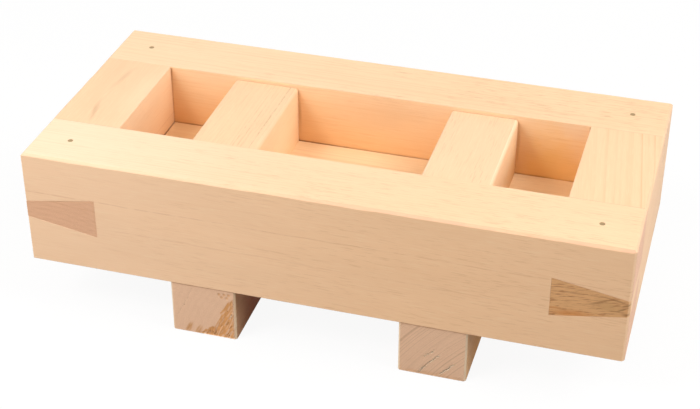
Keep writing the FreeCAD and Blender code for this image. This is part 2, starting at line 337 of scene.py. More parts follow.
# %% The dome and the panels
DOME, DOME_WHITE, PANEL_WHITE = 0.215, (1.0, 0.99, 0.975, 1.0), (1.0, 0.985, 0.96)
PANELS = {
    "key_panel": ((-0.39, -0.49, 0.735), 0.30, 3.0),
    "right_panel": ((0.90, 0.0, 0.50), 0.80, 5.2),
    "high_right_panel": ((0.62, -0.05, 0.80), 0.50, 3.7),
    "left_front_panel": ((-0.42, -0.34, 0.36), 0.30, 1.02),
    "front_panel": ((-0.20, -1.0, 0.40), 0.70, 2.2),
    "back_panel": ((-0.45, 1.05, 0.24), 0.80, 4.6),
}

world = bpy.data.worlds.new("white tent")
bpy.context.scene.world = world
sky = empty_tree(world)
seen_or_felt = step(sky, white_to_the_eye(sky), 0.0, 1.0, DOME, 1.0)
put(sky, "ShaderNodeOutputWorld", put(sky, "ShaderNodeBackground", DOME_WHITE, seen_or_felt))

for label, (place, across, watts) in PANELS.items():
    panel = bpy.data.lights.new(label, "AREA")
    panel.shape, panel.size, panel.energy, panel.color = "SQUARE", across, watts, PANEL_WHITE
    lamp = stand(label, panel)
    lamp.location = place
    lamp.rotation_mode = "QUATERNION"
    lamp.rotation_quaternion = (Vector(place) - LOOKS_AT).to_track_quat("Z", "Y")
    lamp.visible_camera = False
    lamp.visible_glossy = label != "back_panel"
    print(label, place, f"{across} m, {watts} W")

bpy.context.scene.view_settings.view_transform = "Standard"

# %% [markdown]
# A tree grows one ring a year: pale soft wood in spring, then a thin darker line of dense summer wood.
# A board shows whatever its faces cut out of those rings: fine parallel lines on one face, broad flames
# on the next, arcs on the end. A flat pattern would have to be fitted to each face. Here the rings fill
# the whole board like a solid: distance from the heart of the tree decides, so lines run over the arrises
# from face to face by themselves, and a board is described by where the tree's heart was.

# %% Growth rings
def make_growth_rings():
    inputs = {
        "Position": (0.0, 0.0, 0.0), "Heart": (0.0, 0.0, 0.0), "Fibre": (1.0, 0.0, 0.0),
        "Ring width": 1.5, "Wander": 1.0, "Spring share": 0.35, "Seed": 0.0,
    }
    group, given, give = effect("Growth rings", inputs, {"Summer wood": float, "Outwards": tuple})
    seed = given["Seed"]
    offset = arrow(group, "SUBTRACT", given["Position"], given["Heart"])
    parts = taken_apart(group, offset, given["Fibre"])
    outwards = parts[1]
    slow = drawn_out(group, parts, 26.0, 150.0)
    lean = number(group, "MULTIPLY_ADD", clouds(group, slow, seed), 2.0, -1.0)
    radius = number(group, "MULTIPLY_ADD", lean, given["Wander"], arrow(group, "LENGTH", outwards))
    years = number(group, "DIVIDE", radius, given["Ring width"])
    shift = put(group, "ShaderNodeTexNoise", None, number(group, "MULTIPLY_ADD", years, 0.27, seed),
                1.0, 1.0, noise_dimensions="1D")
    years = number(group, "MULTIPLY_ADD", shift, 3.0, years)
    season = number(group, "FRACT", years)
    summer, winter = step(group, season, given["Spring share"], 0.93), step(group, season, 0.955, 1.0, 1.0, 0.0)
    year = number(group, "ADD", number(group, "FLOOR", years), seed)
    weather = put(group, "ShaderNodeTexWhiteNoise", None, year, noise_dimensions="1D")
    strength = step(group, weather, 0.0, 1.0, 0.25, 1.0)
    give("Summer wood", times(group, summer, winter, strength))
    give("Outwards", arrow(group, "NORMALIZE", outwards))
    return group


GROWTH_RINGS = make_growth_rings()
print("Growth rings:", len(GROWTH_RINGS.nodes), "nodes")

# %% [markdown]
# Between the rings lie the fibres, far longer than they are thick. A plane lays them open as faint
# strands, and where it cuts a resin duct or lifts a few fibres there is a short darker dash, or a light
# fleck where it polishes them. All are random values in a space that is squeezed across the fibre and
# drawn out along it, and a slower one lets the dashes come in patches. Another and much broader value
# gives the slow change of tone that no two hand-breadths of a board lack. The last one is a row of short
# dots: where a board is cut along a radius its lines break up into such rows.

# %% Fibres
def make_fibres():
    inputs = {"Position": (0.0, 0.0, 0.0), "Fibre": (1.0, 0.0, 0.0), "Seed": 0.0}
    outputs = dict.fromkeys(("Strand", "Dash", "Fleck", "Dot", "Tone"), float)
    group, given, give = effect("Fibres", inputs, outputs)
    parts = taken_apart(group, given["Position"], given["Fibre"])

    def along_fibre(thickness, length, later_seed, *finish):
        seed = number(group, "ADD", given["Seed"], later_seed)
        return clouds(group, drawn_out(group, parts, thickness, length), seed, *finish)

    strand = along_fibre(0.50, 16.0, 0.0, 3.0, 0.6)
    dash = along_fibre(0.45, 7.5, 7.0)
    patch = along_fibre(9.0, 30.0, 13.0, 1.0)
    tone = along_fibre(15.0, 60.0, 19.0, 1.5)
    dot = along_fibre(0.55, 2.4, 29.0, 1.0)
    give("Strand", step(group, strand, 0.25, 0.75))
    give("Dash", times(group, step(group, dash, 0.555, 0.66), step(group, patch, 0.36, 0.60, 0.25, 1.0)))
    give("Fleck", step(group, dash, 0.43, 0.33))
    give("Dot", step(group, dot, 0.40, 0.58))
    give("Tone", step(group, tone, 0.25, 0.75))
    return group


FIBRES = make_fibres()
print("Fibres:", len(FIBRES.nodes), "nodes")

# %% [markdown]
# The same wood looks different by how a face cuts it. Across the fibre it is darker, because the open tubes swallow
# light. Cut flat, as a tangent to the rings, it is more tan than when it is cut along a radius. The same tan also
# carries painted shade, and on the front of the frame it is set strongest to darken that face. One small group
# compares the face's own direction with the fibre and with the way to the heart of the tree, and gives a mask for
# each. No face has to be picked by hand.

# %% How a face cuts the wood
def make_cut():
    inputs = {"Facing": (0.0, 0.0, 1.0), "Fibre": (1.0, 0.0, 0.0), "Outwards": (0.0, 0.0, 1.0)}
    group, given, give = effect("How a face cuts", inputs, {"End grain": float, "Flat cut": float})
    give("End grain", step(group, reach_along(group, given["Facing"], given["Fibre"]), 0.62, 0.90))
    give("Flat cut", step(group, reach_along(group, given["Facing"], given["Outwards"]), 0.55, 1.00))
    return group


CUT = make_cut()
print("How a face cuts:", len(CUT.nodes), "nodes")

# %% [markdown]
# On a sawn end the tubes are seen from their mouths: a very fine speckle, and across it the streaks where
# the saw or the chisel dragged. The speckle could be real holes, but they are a thirtieth of a millimetre
# wide, so a colour and a very low relief carry them better.

# %% Open pores of the end grain
def make_pores():
    inputs = {"Position": (0.0, 0.0, 0.0), "Drag": (1.0, 0.0, 0.0), "Seed": 0.0}
    group, given, give = effect("Open pores", inputs, {"Pore": float, "Streak": float})
    speckle = clouds(group, stretch(group, given["Position"], 1 / 0.24), given["Seed"], 2.0, 0.6)
    dragged = drawn_out(group, taken_apart(group, given["Position"], given["Drag"]), 0.6, 6.0)
    streak = clouds(group, dragged, number(group, "ADD", given["Seed"], 3.0), 3.0, 0.6)
    give("Pore", step(group, speckle, 0.40, 0.66))
    give("Streak", step(group, streak, 0.48, 0.72))
    return group


PORES = make_pores()
print("Open pores:", len(PORES.nodes), "nodes")

# %% [markdown]
# Hands and rice water reach the edges first. The wood there is rubbed smooth and turns from cream to a light
# salmon, more in some places than in others. On the right batten and on the feet, a colour paler than the wood is
# laid on the arrises instead, as a painted highlight. The pieces carry a number that says which faces are arrises;
# this group breaks it up along the edge. A smear is a softer mark: a drawn-out patch at one place of one board.
# Some are pitch or damp that has darkened the wood; others are painted shadow, painted shade and painted light. A
# long line is a single dark vein that a board shows from end to end, thin, a little unsteady and broken in places;
# on the feet it is a painted shadow line close under the frame.

# %% Rubbed and highlighted arrises, smears and painted patches, long lines
def make_arris_wear_and_highlight():
    inputs = {"Arris": 0.0, "Position": (0.0, 0.0, 0.0), "Seed": 0.0}
    group, given, give = effect("Rubbed arris", inputs, {"Rubbed": float})
    patch = clouds(group, stretch(group, given["Position"], 1 / 22), given["Seed"], 3.0, 0.6)
    give("Rubbed", times(group, given["Arris"], step(group, patch, 0.35, 0.62, 0.35, 1.0)))
    return group


def make_smear():
    inputs = {"Position": (0.0, 0.0, 0.0), "Middle": (0.0, 0.0, 0.0), "Reach": (1.0, 1.0, 1.0),
              "Turn": (0.0, 0.0, 0.0), "Seed": 0.0}
    group, given, give = effect("Smear", inputs, {"Smear": float})
    offset = arrow(group, "SUBTRACT", given["Position"], given["Middle"])
    turned_back = put(group, "ShaderNodeVectorRotate", offset, None, None, None, given["Turn"],
                      rotation_type="EULER_XYZ", invert=True)
    near = arrow(group, "DIVIDE", turned_back, given["Reach"])
    ragged = clouds(group, stretch(group, near, 1.8), given["Seed"], 3.0, 0.6)
    away = number(group, "MULTIPLY_ADD", ragged, 0.9, arrow(group, "LENGTH", near))
    give("Smear", step(group, away, 0.55, 1.35, 1.0, 0.0))
    return group


def make_long_line():
    inputs = {"Position": (0.0, 0.0, 0.0), "Through": (0.0, 0.0, 0.0), "Across": (0.0, 0.0, 1.0),
              "Width": 0.3, "Unsteady": 2.2, "Seed": 0.0}
    group, given, give = effect("Long line", inputs, {"Line": float})
    offset = arrow(group, "SUBTRACT", given["Position"], given["Through"])
    away = arrow(group, "DOT_PRODUCT", offset, given["Across"])
    lengthways = arrow(group, "SUBTRACT", given["Position"], stretch(group, given["Across"], away))
    unsteady = clouds(group, stretch(group, lengthways, 1 / 28), given["Seed"], 3.0)
    away = number(group, "MULTIPLY_ADD", number(group, "SUBTRACT", unsteady, 0.5), given["Unsteady"], away)
    away = number(group, "DIVIDE", number(group, "ABSOLUTE", away), given["Width"])
    whole = clouds(group, stretch(group, lengthways, 1 / 5), given["Seed"])
    give("Line", times(group, step(group, away, 0.3, 1.0, 1.0, 0.0), step(group, whole, 0.35, 0.58, 0.15, 1.0)))
    return group


ARRIS_WEAR_AND_HIGHLIGHT, SMEARS_AND_PAINTED_LIGHT, LONG_LINE = make_arris_wear_and_highlight(), make_smear(), make_long_line()
print("Rubbed arris, Smear, Long line:", *(len(group.nodes) for group in (ARRIS_WEAR_AND_HIGHLIGHT, SMEARS_AND_PAINTED_LIGHT, LONG_LINE)), "nodes")

# %% [markdown]
# The wood inside the opening has been wetted with vinegar and rice water again and again. Its colour turns from
# cream to a light orange and darker, more the deeper it lies: partly that stain, partly painted shade of the deep
# pockets. Paint on the inner faces would stop at the arrises. A mask worked out from the place alone does not: it
# asks whether a point lies within the opening and above the feet, and how far below the rim it is. A second mask
# darkens a hair's breadth along the four inner corners, and round the top of the press board where it meets the
# walls.

# %% Vinegar stain and painted shade inside
def make_vinegar_and_shade():
    inputs = {"Position": (0.0, 0.0, 0.0), "Half opening": (OPENING_END, INNER_WALL, 0.0), "Rim": FRAME_TOP,
              "Fade": 27.0}
    group, given, give = effect("Vinegar tint and painted shade inside", inputs, {"Stain": float, "Seam": float})
    beyond = arrow(group, "SUBTRACT", arrow(group, "ABSOLUTE", given["Position"]), given["Half opening"])
    beyond_wall = put(group, "ShaderNodeSeparateXYZ", beyond).node.outputs[:2]
    height = put(group, "ShaderNodeSeparateXYZ", given["Position"], out=2)
    depth = number(group, "DIVIDE", number(group, "SUBTRACT", given["Rim"], height), given["Fade"])
    inside = times(group, *(step(group, part, 0.05, 0.30, 1.0, 0.0) for part in beyond_wall))
    deep = number(group, "POWER", number(group, "MAXIMUM", number(group, "MINIMUM", depth, 1.0), 0.0), 0.85)
    above_feet = step(group, height, BASE_LOW.z - 0.2, BASE_LOW.z)
    give("Stain", times(group, inside, above_feet, deep))

    at_wall = [step(group, number(group, "ABSOLUTE", part), 0.35, 0.70, 1.0, 0.0) for part in beyond_wall]
    low = times(group, step(group, height, PRESS_HIGH.z + 0.15, PRESS_HIGH.z + 0.55, 1.0, 0.0),
                step(group, height, PRESS_HIGH.z - 0.8, PRESS_HIGH.z - 0.3))
    at_press = times(group, number(group, "MAXIMUM", *at_wall), low)
    in_corner = times(group, *at_wall, 0.8)
    patchy = step(group, clouds(group, stretch(group, given["Position"], 1 / 14), 2.0), 0.35, 0.65, 0.35, 1.0)
    seam = times(group, number(group, "MAXIMUM", at_press, in_corner), patchy)
    below_rim = step(group, depth, 0.0, 0.05)
    give("Seam", times(group, inside, seam, below_rim))
    return group


VINEGAR_AND_SHADE_INSIDE = make_vinegar_and_shade()
print("Vinegar tint and painted shade inside:", len(VINEGAR_AND_SHADE_INSIDE.nodes), "nodes")

# %% [markdown]
# Every board is the same pale softwood, planed and left bare, and brings only its own heart, fibre, ring
# width and marks. So there is one plain board to start from, and a board names what differs. A few of the
# differences come in along the board, from its left end to its right: those are pairs of places along X,
# and the usual pair lies left of every board, where the change is over before the wood begins.

# %% Colours, and a plain board
CREAM, HONEY, TAN = (0.955, 0.675, 0.425, 1.0), (0.80, 0.43, 0.20, 1.0), (0.99, 0.91, 0.87, 1.0)
# The pink is painted light near the left end of a board. The pale colour serves three things: light flecks, painted
# light on the tops, and a painted highlight on some arrises.
PALE, LIT_PINK, SALMON = (0.97, 0.77, 0.53, 1.0), (0.98, 0.75, 0.58, 1.0), (0.88, 0.52, 0.335, 1.0)
# The stain colour is the vinegar stain inside the opening together with the painted shade of its depth.
VINEGAR_AND_SHADE_TINT, SEAM_BROWN = (0.99, 0.86, 0.67, 1.0), (0.36, 0.14, 0.05, 1.0)
# The vein brown serves the veins and the painted shadow line on the feet. The damp brown serves damp marks, joint
# lines and the painted shadows of the battens on the back wall.
DASH_BROWN, VEIN_AND_SHADOW_BROWN, DAMP_AND_SHADOW_BROWN = (0.62, 0.34, 0.175, 1.0), (0.60, 0.29, 0.15, 1.0), (0.45, 0.22, 0.10, 1.0)
RESIN_ORANGE, DEEP_BROWN = (0.66, 0.26, 0.07, 1.0), (0.26, 0.11, 0.035, 1.0)
END_BROWN, PITCH_BROWN = (0.87, 0.56, 0.40, 1.0), (0.30, 0.14, 0.055, 1.0)
STREAK_BROWN, TORN_BROWN = (0.36, 0.135, 0.045, 1.0), (0.80, 0.39, 0.155, 1.0)

ALONG, DEEPWAYS, UP = (1.0, 0.0, 0.0), (0.0, 1.0, 0.0), (0.0, 0.0, 1.0)
ALL_ALONG, LEFT_END, PAINTED_LIGHT_SPAN, SIDE_SHADE_SPAN = (-400.0, -300.0), -125.0, (-110.0, 60.0), (36.0, 58.0)
STRAND_SHARE, FLECK_SHARE, PORE_SHARE, SEAM_SHARE = 0.13, 0.18, 0.10, 0.62
# Several of these settings paint light and shade, not wood: the light from the left on tops and sides, part of the
# tan of a flat cut, the shade deep in the opening, the shade on faces that look along X, the paler arrises, and
# some of the smears.
PLAIN_BOARD = {
    "cream": CREAM, "tan": 0.3, "pale": 0.0, "pale_to": 0.0, "side_pale": 0.0,
    "rings": 0.6, "side_rings": None, "rings_from": ALL_ALONG, "ring_colour": HONEY, "dotted": 0.0,
    "dashes": 0.5, "side_dashes": 1.0, "dashes_from": ALL_ALONG, "stain": 1.0,
    "end_brown": END_BROWN, "end_rings": 0.3, "end_streaks": 0.2, "drag": None,
    "rubbed_colour": SALMON, "rubbed_upright": 0.1, "rubbed_from": ALL_ALONG,
    "side_tone": None, "shine": 0.4, "smears": (), "lines": (),
}
print("cream", CREAM[:3], "summer lines", HONEY[:3])

# %% [markdown]
# The recipe is written in three short parts. The first takes the bearings of a point: which way its face looks,
# where it lies in the tree, and how its face cuts the fibres. The second gives the colour of a planed face, as
# layers from the ground up: tone, painted light from the left, the tan of a flat cut with its painted shade, rings,
# strands, dashes, flecks, and the vinegar stain with the painted shade inside the opening. The third does the same
# for an end. Layers are mixed, not painted, so each can be weakened.

# %% The planed face and the sawn end
def bearings(tree, board, fibre, heart, ring_width, wander, spring, seed):
    """All that a material has to know about the point that it colours."""
    place = tree.nodes.new("ShaderNodeTexCoord").outputs
    at = SimpleNamespace(position=stretch(tree, place["Object"], 1 / MM), facing=place["Normal"], seed=seed)
    at.growth = use(tree, GROWTH_RINGS, Position=at.position, Heart=heart, Fibre=fibre,
                    Ring_width=ring_width, Wander=wander, Spring_share=spring, Seed=seed)
    at.grain = use(tree, FIBRES, Position=at.position, Fibre=fibre, Seed=seed)
    at.cut = use(tree, CUT, Facing=at.facing, Fibre=fibre, Outwards=at.growth["Outwards"])
    drag = board.drag or (ALONG if abs(fibre[1]) > 0.5 else DEEPWAYS)
    at.pores = use(tree, PORES, Position=at.position, Drag=drag, Seed=seed)
    at.x = put(tree, "ShaderNodeSeparateXYZ", at.position)
    at.upright = arrow(tree, "DOT_PRODUCT", at.facing, UP)
    at.level = step(tree, at.upright, 0.6, 0.9)
    return at


def planed(tree, board, at):
    """The colour of a face that runs with the fibre."""
    growth, grain = at.growth, at.grain
    darker_cream = tuple(part * 0.965 for part in board.cream[:3]) + (1.0,)
    colour = tint(tree, darker_cream, board.cream, grain["Tone"])
    # Painted light from the left: upward faces are paler towards the left end of a board, and every face is lighter
    # and pinker towards the left end.
    colour = tint(tree, colour, PALE, step(tree, at.x, LEFT_END, board.pale_to, board.pale, 0.0), at.level)
    # Flat-cut faces made more tan: partly the wood's own tone, partly painted shade, strongest on the front of the
    # frame.
    colour = tint(tree, colour, TAN, at.cut["Flat cut"], board.tan, way="MULTIPLY")
    colour = tint(tree, colour, LIT_PINK, step(tree, at.x, *PAINTED_LIGHT_SPAN, board.side_pale, 0.0))
    side_rings = board.rings if board.side_rings is None else board.side_rings
    colour = tint(tree, colour, board.ring_colour, growth["Summer wood"],
                  step(tree, grain["Tone"], 0.0, 1.0, 1.0, 0.4),
                  step(tree, grain["Dot"], 0.0, 1.0, 1.0 - board.dotted, 1.0),
                  step(tree, at.x, *board.rings_from, 0.35, 1.0),
                  step(tree, at.level, 0.0, 1.0, side_rings, board.rings))
    colour = tint(tree, colour, HONEY, grain["Strand"], STRAND_SHARE)
    dash_share = times(tree, step(tree, at.x, *board.dashes_from, 0.3 * board.dashes, board.dashes),
                       step(tree, at.level, 0.0, 1.0, board.side_dashes, 1.0))
    colour = tint(tree, colour, DASH_BROWN, grain["Dash"], dash_share)
    colour = tint(tree, colour, PALE, grain["Fleck"], FLECK_SHARE)
    inside = use(tree, VINEGAR_AND_SHADE_INSIDE, Position=at.position)
    # Vinegar stain and painted shade: warmer and darker the deeper a point lies in the opening.
    colour = tint(tree, colour, VINEGAR_AND_SHADE_TINT, inside["Stain"], board.stain, way="MULTIPLY")
    return tint(tree, colour, SEAM_BROWN, inside["Seam"], SEAM_SHARE)


def sawn(tree, board, at):
    """The colour of an end, where the fibres are cut across."""
    colour = tint(tree, board.end_brown, PITCH_BROWN, at.growth["Summer wood"], board.end_rings)
    colour = tint(tree, colour, PITCH_BROWN, at.pores["Pore"], PORE_SHARE)
    return tint(tree, colour, STREAK_BROWN, at.pores["Streak"], board.end_streaks)


print("planed and sawn colours ready")

# %% [markdown]
# On top of the wood come the marks of its life and some painted light and shade. There are veins, and on the feet a
# painted shadow line under the frame. There is painted shade on the faces that look along X. There are the rubbed
# arrises, painted as a highlight on some boards, and what the mesh says is torn or cracked. Last come the smears:
# some are pitch or damp, and some are painted shadow, shade and light. They could be one painted texture, but as
# layers they stay where they are when a colour below them is changed. The numbers for torn, cracked and arris come
# from the mesh as attributes, which the sections on edges and ends further down write.

# %% Marks of use, painted shade and painted light
def marked(tree, board, at, colour):
    """Lay a board's own veins, painted shadow line, painted side shade, arris wear and painted highlights, tears,
    marks of pitch and damp, and painted shadow, shade and light over its wood.
    """
    # Veins along a board. On the feet the same kind of line is a painted shadow close under the frame.
    for later_seed, (through, across, width, unsteady, strength) in enumerate(board.lines):
        dark_line = use(tree, LONG_LINE, Position=at.position, Through=through, Across=across, Width=width,
                   Unsteady=unsteady, Seed=at.seed + later_seed)["Line"]
        colour = tint(tree, colour, VEIN_AND_SHADOW_BROWN, dark_line, step(tree, at.level, 0.0, 1.0, strength, 0.0))

    endways = reach_along(tree, at.facing, ALONG)
    # Painted shade on the faces that look along X, such as the sides of the feet under the frame. It is full
    # further in and about half as strong near the front and back ends.
    if board.side_tone:
        further_in = step(tree, reach_along(tree, at.position, DEEPWAYS), *SIDE_SHADE_SPAN, 1.0, 0.55)
        colour = tint(tree, colour, board.side_tone, step(tree, endways, 0.75, 0.95), further_in, way="MULTIPLY")

    arris, torn, crack = (put(tree, "ShaderNodeAttribute", attribute_name=name, out=2)
                          for name in ("arris", "torn", "crack"))
    # Rubbed arrises: a worn salmon on most boards, and a painted highlight on the right batten and the feet, where
    # the colour is paler than the wood.
    wear_and_highlight = use(tree, ARRIS_WEAR_AND_HIGHLIGHT, Arris=arris, Position=at.position, Seed=at.seed)["Rubbed"]
    on_top = step(tree, endways, 0.4, 0.6, 1.0, 0.35)
    wear_and_highlight_share = times(tree, step(tree, at.x, *board.rubbed_from, 0.2, 0.95),
                         step(tree, at.upright, 0.2, 0.6, board.rubbed_upright, on_top))
    colour = tint(tree, colour, board.rubbed_colour, wear_and_highlight, wear_and_highlight_share)
    colour = tint(tree, colour, TORN_BROWN, torn)
    colour = tint(tree, colour, PITCH_BROWN, crack)
    # Smears: marks of pitch and damp on some boards; on others, painted shadow, painted shade and painted light.
    for later_seed, (middle, reach, turn, strength, brown) in enumerate(board.smears):
        mark = use(tree, SMEARS_AND_PAINTED_LIGHT, Position=at.position, Middle=middle, Reach=reach, Turn=turn,
                   Seed=at.seed + later_seed)["Smear"]
        colour = tint(tree, colour, brown, mark, strength)
    return colour


print("marks of use ready")

# %% [markdown]
# Bare wood is dull: the roughness stays high, the dense summer lines shine a little more than the soft
# spring wood, and the end grain least. The same masks raise a very low relief, because a sharp plane still
# leaves the soft wood a trace lower than the hard. How much light the surface mirrors at all is one plain
# number for a board. It is lowest for the feet, which nobody planes and which lie in their own shade, where
# a sheen would show at once.

# %% The softwood recipe
RELIEF, RELIEF_STRENGTH = 0.05 * MM, 0.6
PLANED_ROUGHNESS, SAWN_ROUGHNESS = 0.60, 0.82


def softwood(name, fibre, heart, ring_width, wander, spring, seed, **own):
    """A board: its fibre's direction, a point on its tree's axis, the width and the wander of its rings
    in millimetres, the share of spring wood in a ring, a seed, and what differs from a plain board."""
    board = SimpleNamespace(**{**PLAIN_BOARD, **own})
    material, tree, shader = new_material(name)
    at = bearings(tree, board, tuple(Vector(fibre).normalized()), heart, ring_width, wander, spring, seed)
    summer, strand, end_grain = at.growth["Summer wood"], at.grain["Strand"], at.cut["End grain"]
    colour = tint(tree, planed(tree, board, at), sawn(tree, board, at), end_grain)
    tree.links.new(marked(tree, board, at, colour), shader.inputs["Base Color"])

    dull = step(tree, end_grain, 0.0, 1.0, PLANED_ROUGHNESS, SAWN_ROUGHNESS)
    dull = number(tree, "MULTIPLY_ADD", summer, -0.08, dull)
    tree.links.new(number(tree, "MULTIPLY_ADD", strand, 0.06, dull), shader.inputs["Roughness"])
    side_height = number(tree, "MULTIPLY_ADD", strand, -0.35, times(tree, summer, 0.5))
    side_height = number(tree, "MULTIPLY_ADD", at.grain["Dash"], -0.6, side_height)
    end_height = number(tree, "MULTIPLY_ADD", at.pores["Pore"], -0.9, times(tree, at.pores["Streak"], -1.2))
    height = put(tree, "ShaderNodeMix", end_grain, None, side_height, end_height)
    relief(tree, shader, height, RELIEF, RELIEF_STRENGTH)
    shader.inputs["Specular IOR Level"].default_value = board.shine
    return material


print("softwood recipe ready, relief", RELIEF / MM, "mm")

# %% [markdown]
# Ten boards, ten places in the tree. Where the heart lay far behind a face, the face is cut flat and carries two or
# three long lines; where it lay beside the face, the lines come close together. The long boards have their fibre
# along X and the short ones along Y, and each is let lean by about a degree, as no saw follows the fibre exactly.
# The frame comes first. Its two end boards show their ends in the dovetails, the right one dark with resin, so that
# is where most of the smears lie. The front board carries the strongest painted light from the left and the most
# tan with its painted shade. The back board carries painted shadows, shade and light on its inner face.

# %% The woods of the frame
LONG, SHORT = (1.0, 0.0, -0.014), (0.012, 1.0, 0.0)
FRONT, BACK_WALL, TOP = -58.8, 28.6, 76.2
WOODS = {}


def smear(middle, reach, strength, brown=DAMP_AND_SHADOW_BROWN, turn=(0.0, 0.0, 0.0)):
    """A mark round a middle, with its reach along X, Y and Z in millimetres."""
    return middle, reach, turn, strength, brown


def on_front(x, z, wide, tall, strength, tilt=0.0, brown=DAMP_AND_SHADOW_BROWN):
    """A smear on the front of the frame."""
    return smear((x, FRONT, z), (wide, 3.0, tall), strength, brown, (0.0, tilt, 0.0))


def on_back_wall(x, z, wide, tall, strength, brown=DAMP_AND_SHADOW_BROWN):
    """A patch on the inside of the back board; here they are all painted shadow, shade and light."""
    return smear((x, BACK_WALL, z), (wide, 3.0, tall), strength, brown)


WOODS["front_side_board"] = softwood(
    "front board wood", LONG, (0.0, 38.0, 38.0), 2.2, 1.2, 0.6, 3.0, rings=0.35, side_rings=0.07, dashes=0.42,
    dashes_from=(-110.0, 10.0), side_dashes=0.68, tan=1.0, pale=1.0, pale_to=-10.0, side_pale=0.26,
    rubbed_from=(-60.0, 60.0), lines=(((0.0, FRONT, 57.7), (0.004, 0.0, 1.0), 0.38, 1.6, 0.28),
                                      ((60.0, FRONT, 44.0), (0.01, 0.0, 1.0), 0.38, 2.2, 0.18)))
WOODS["back_side_board"] = softwood(
    "back board wood", LONG, (0.0, -30.0, -14.0), 1.6, 1.2, 0.55, 11.0, rings=0.35, side_rings=0.25, dashes=0.5,
    dashes_from=(-120.0, 60.0), side_dashes=0.4, pale=0.5, pale_to=60.0, end_brown=(0.93, 0.66, 0.46, 1.0),
    # On the back wall: painted shadows of the two battens, a painted darker band high in the middle, a painted
    # lighter band low by the press board, and painted warm shade in the right pocket.
    smears=(on_back_wall(-33.8, 62.0, 1.0, 14.0, 0.36),
            on_back_wall(64.2, 62.0, 1.0, 14.0, 0.36),
            on_back_wall(2.0, 67.0, 36.0, 14.0, 0.45, (0.78, 0.48, 0.265, 1.0)),
            on_back_wall(6.0, 43.0, 36.0, 7.0, 0.4, (0.97, 0.68, 0.42, 1.0)),
            on_back_wall(79.0, 55.0, 24.0, 26.0, 0.6, (0.94, 0.52, 0.13, 1.0))))
WOODS["left_end_board"] = softwood(
    "left end board wood", SHORT, (-121.0, 0.0, -22.0), 2.4, 1.0, 0.45, 23.0, rings=0.10, dashes=0.10,
    cream=(0.955, 0.665, 0.425, 1.0), stain=0.25, tan=0.25,
    end_brown=(0.80, 0.465, 0.29, 1.0), end_rings=0.04, end_streaks=0.12,
    smears=(smear((-97.0, 4.0, TOP), (9.0, 36.0, 4.0), 0.6, (0.965, 0.70, 0.455, 1.0)),
            smear((-110.5, -17.0, TOP), (1.9, 13.0, 4.0), 0.3, turn=(0.0, 0.0, 0.16)),
            smear((-110.5, 13.0, TOP), (2.2, 15.0, 4.0), 0.2, turn=(0.0, 0.0, -0.12)),
            # Painted shadow low on the inner face, near the back corner.
            smear((-94.3, 20.0, 52.0), (2.0, 11.0, 9.0), 0.14, (0.80, 0.46, 0.22, 1.0), (0.7, 0.0, 0.0)),
            on_front(-110.0, 55.8, 16.0, 0.7, 0.4, -0.168)),
    lines=(((-100.0, FRONT, 53.6), (0.09, 0.0, 1.0), 0.35, 0.6, 0.28),))
WOODS["right_end_board"] = softwood(
    "right end board wood", (-0.115, 1.0, 0.0), (97.0, 0.0, 108.0), 1.25, 0.6, 0.45, 31.0, rings=0.75,
    # A slight painted shade on the faces of this board that look along X.
    rings_from=(94.0, 114.0), dashes=0.06, side_tone=(0.94, 0.92, 0.95, 1.0),
    end_brown=(0.78, 0.435, 0.20, 1.0), end_rings=0.10, end_streaks=1.0, drag=(0.985, 0.0, 0.174),
    smears=(on_front(103.5, 43.2, 14.5, 3.2, 0.70, -0.08, RESIN_ORANGE),
            on_front(96.0, 44.8, 5.0, 0.9, 0.50, -0.10, RESIN_ORANGE),
            on_front(117.0, 49.5, 10.0, 5.5, 0.42, 0.0, (0.50, 0.28, 0.11, 1.0)),
            on_front(113.0, 50.6, 6.5, 0.9, 0.55, -0.42, DEEP_BROWN),
            on_front(121.8, 48.8, 4.0, 0.7, 0.58, -0.55, DEEP_BROWN),
            on_front(118.5, 52.8, 7.0, 0.8, 0.55, 0.16, DEEP_BROWN),
            on_front(123.4, 51.0, 3.0, 0.8, 0.65, -0.35, DEEP_BROWN),
            on_front(123.6, 46.8, 2.5, 1.0, 0.55, -0.20, DEEP_BROWN),
            on_front(95.6, 41.4, 2.2, 0.5, 0.60, 0.05, DEEP_BROWN),
            on_front(103.0, 53.2, 5.0, 0.4, 0.55, -0.10)))
print(len(WOODS), "woods for the frame")

# %% [markdown]
# The base and the press hide most of their wood: a plain board each, two feet, and two battens. The sides of the
# feet carry painted shade from the frame above them, much deeper on the left foot, and their front ends carry a
# painted shadow line close under the frame. The left batten was cut along a radius, so its lines are the closest of
# all and break up into rows of dots. What the two feet have in common is written once: a painted highlight on their
# arrises and a low shine. The right side of each batten carries painted light, and the press board carries painted
# shade in the left pocket and painted light in the right one.

# %% The woods of the base and the press
# Painted light that lifts the shaded right side of each batten.
BATTEN_SIDE_LIGHT = (1.0, 0.80, 0.54, 1.0)
# A painted highlight on the feet's arrises, paler than their wood, and a low shine.
FOOT_HIGHLIGHT_AND_SHINE = {"rubbed_colour": (1.0, 0.86, 0.66, 1.0), "rubbed_upright": 0.6, "shine": 0.12}


def frame_shadow_line(x):
    """A painted shadow line close under the frame, across the front end of a foot."""
    return (((x, -58.3, 24.25), UP, 0.55, 0.2, 0.6),)


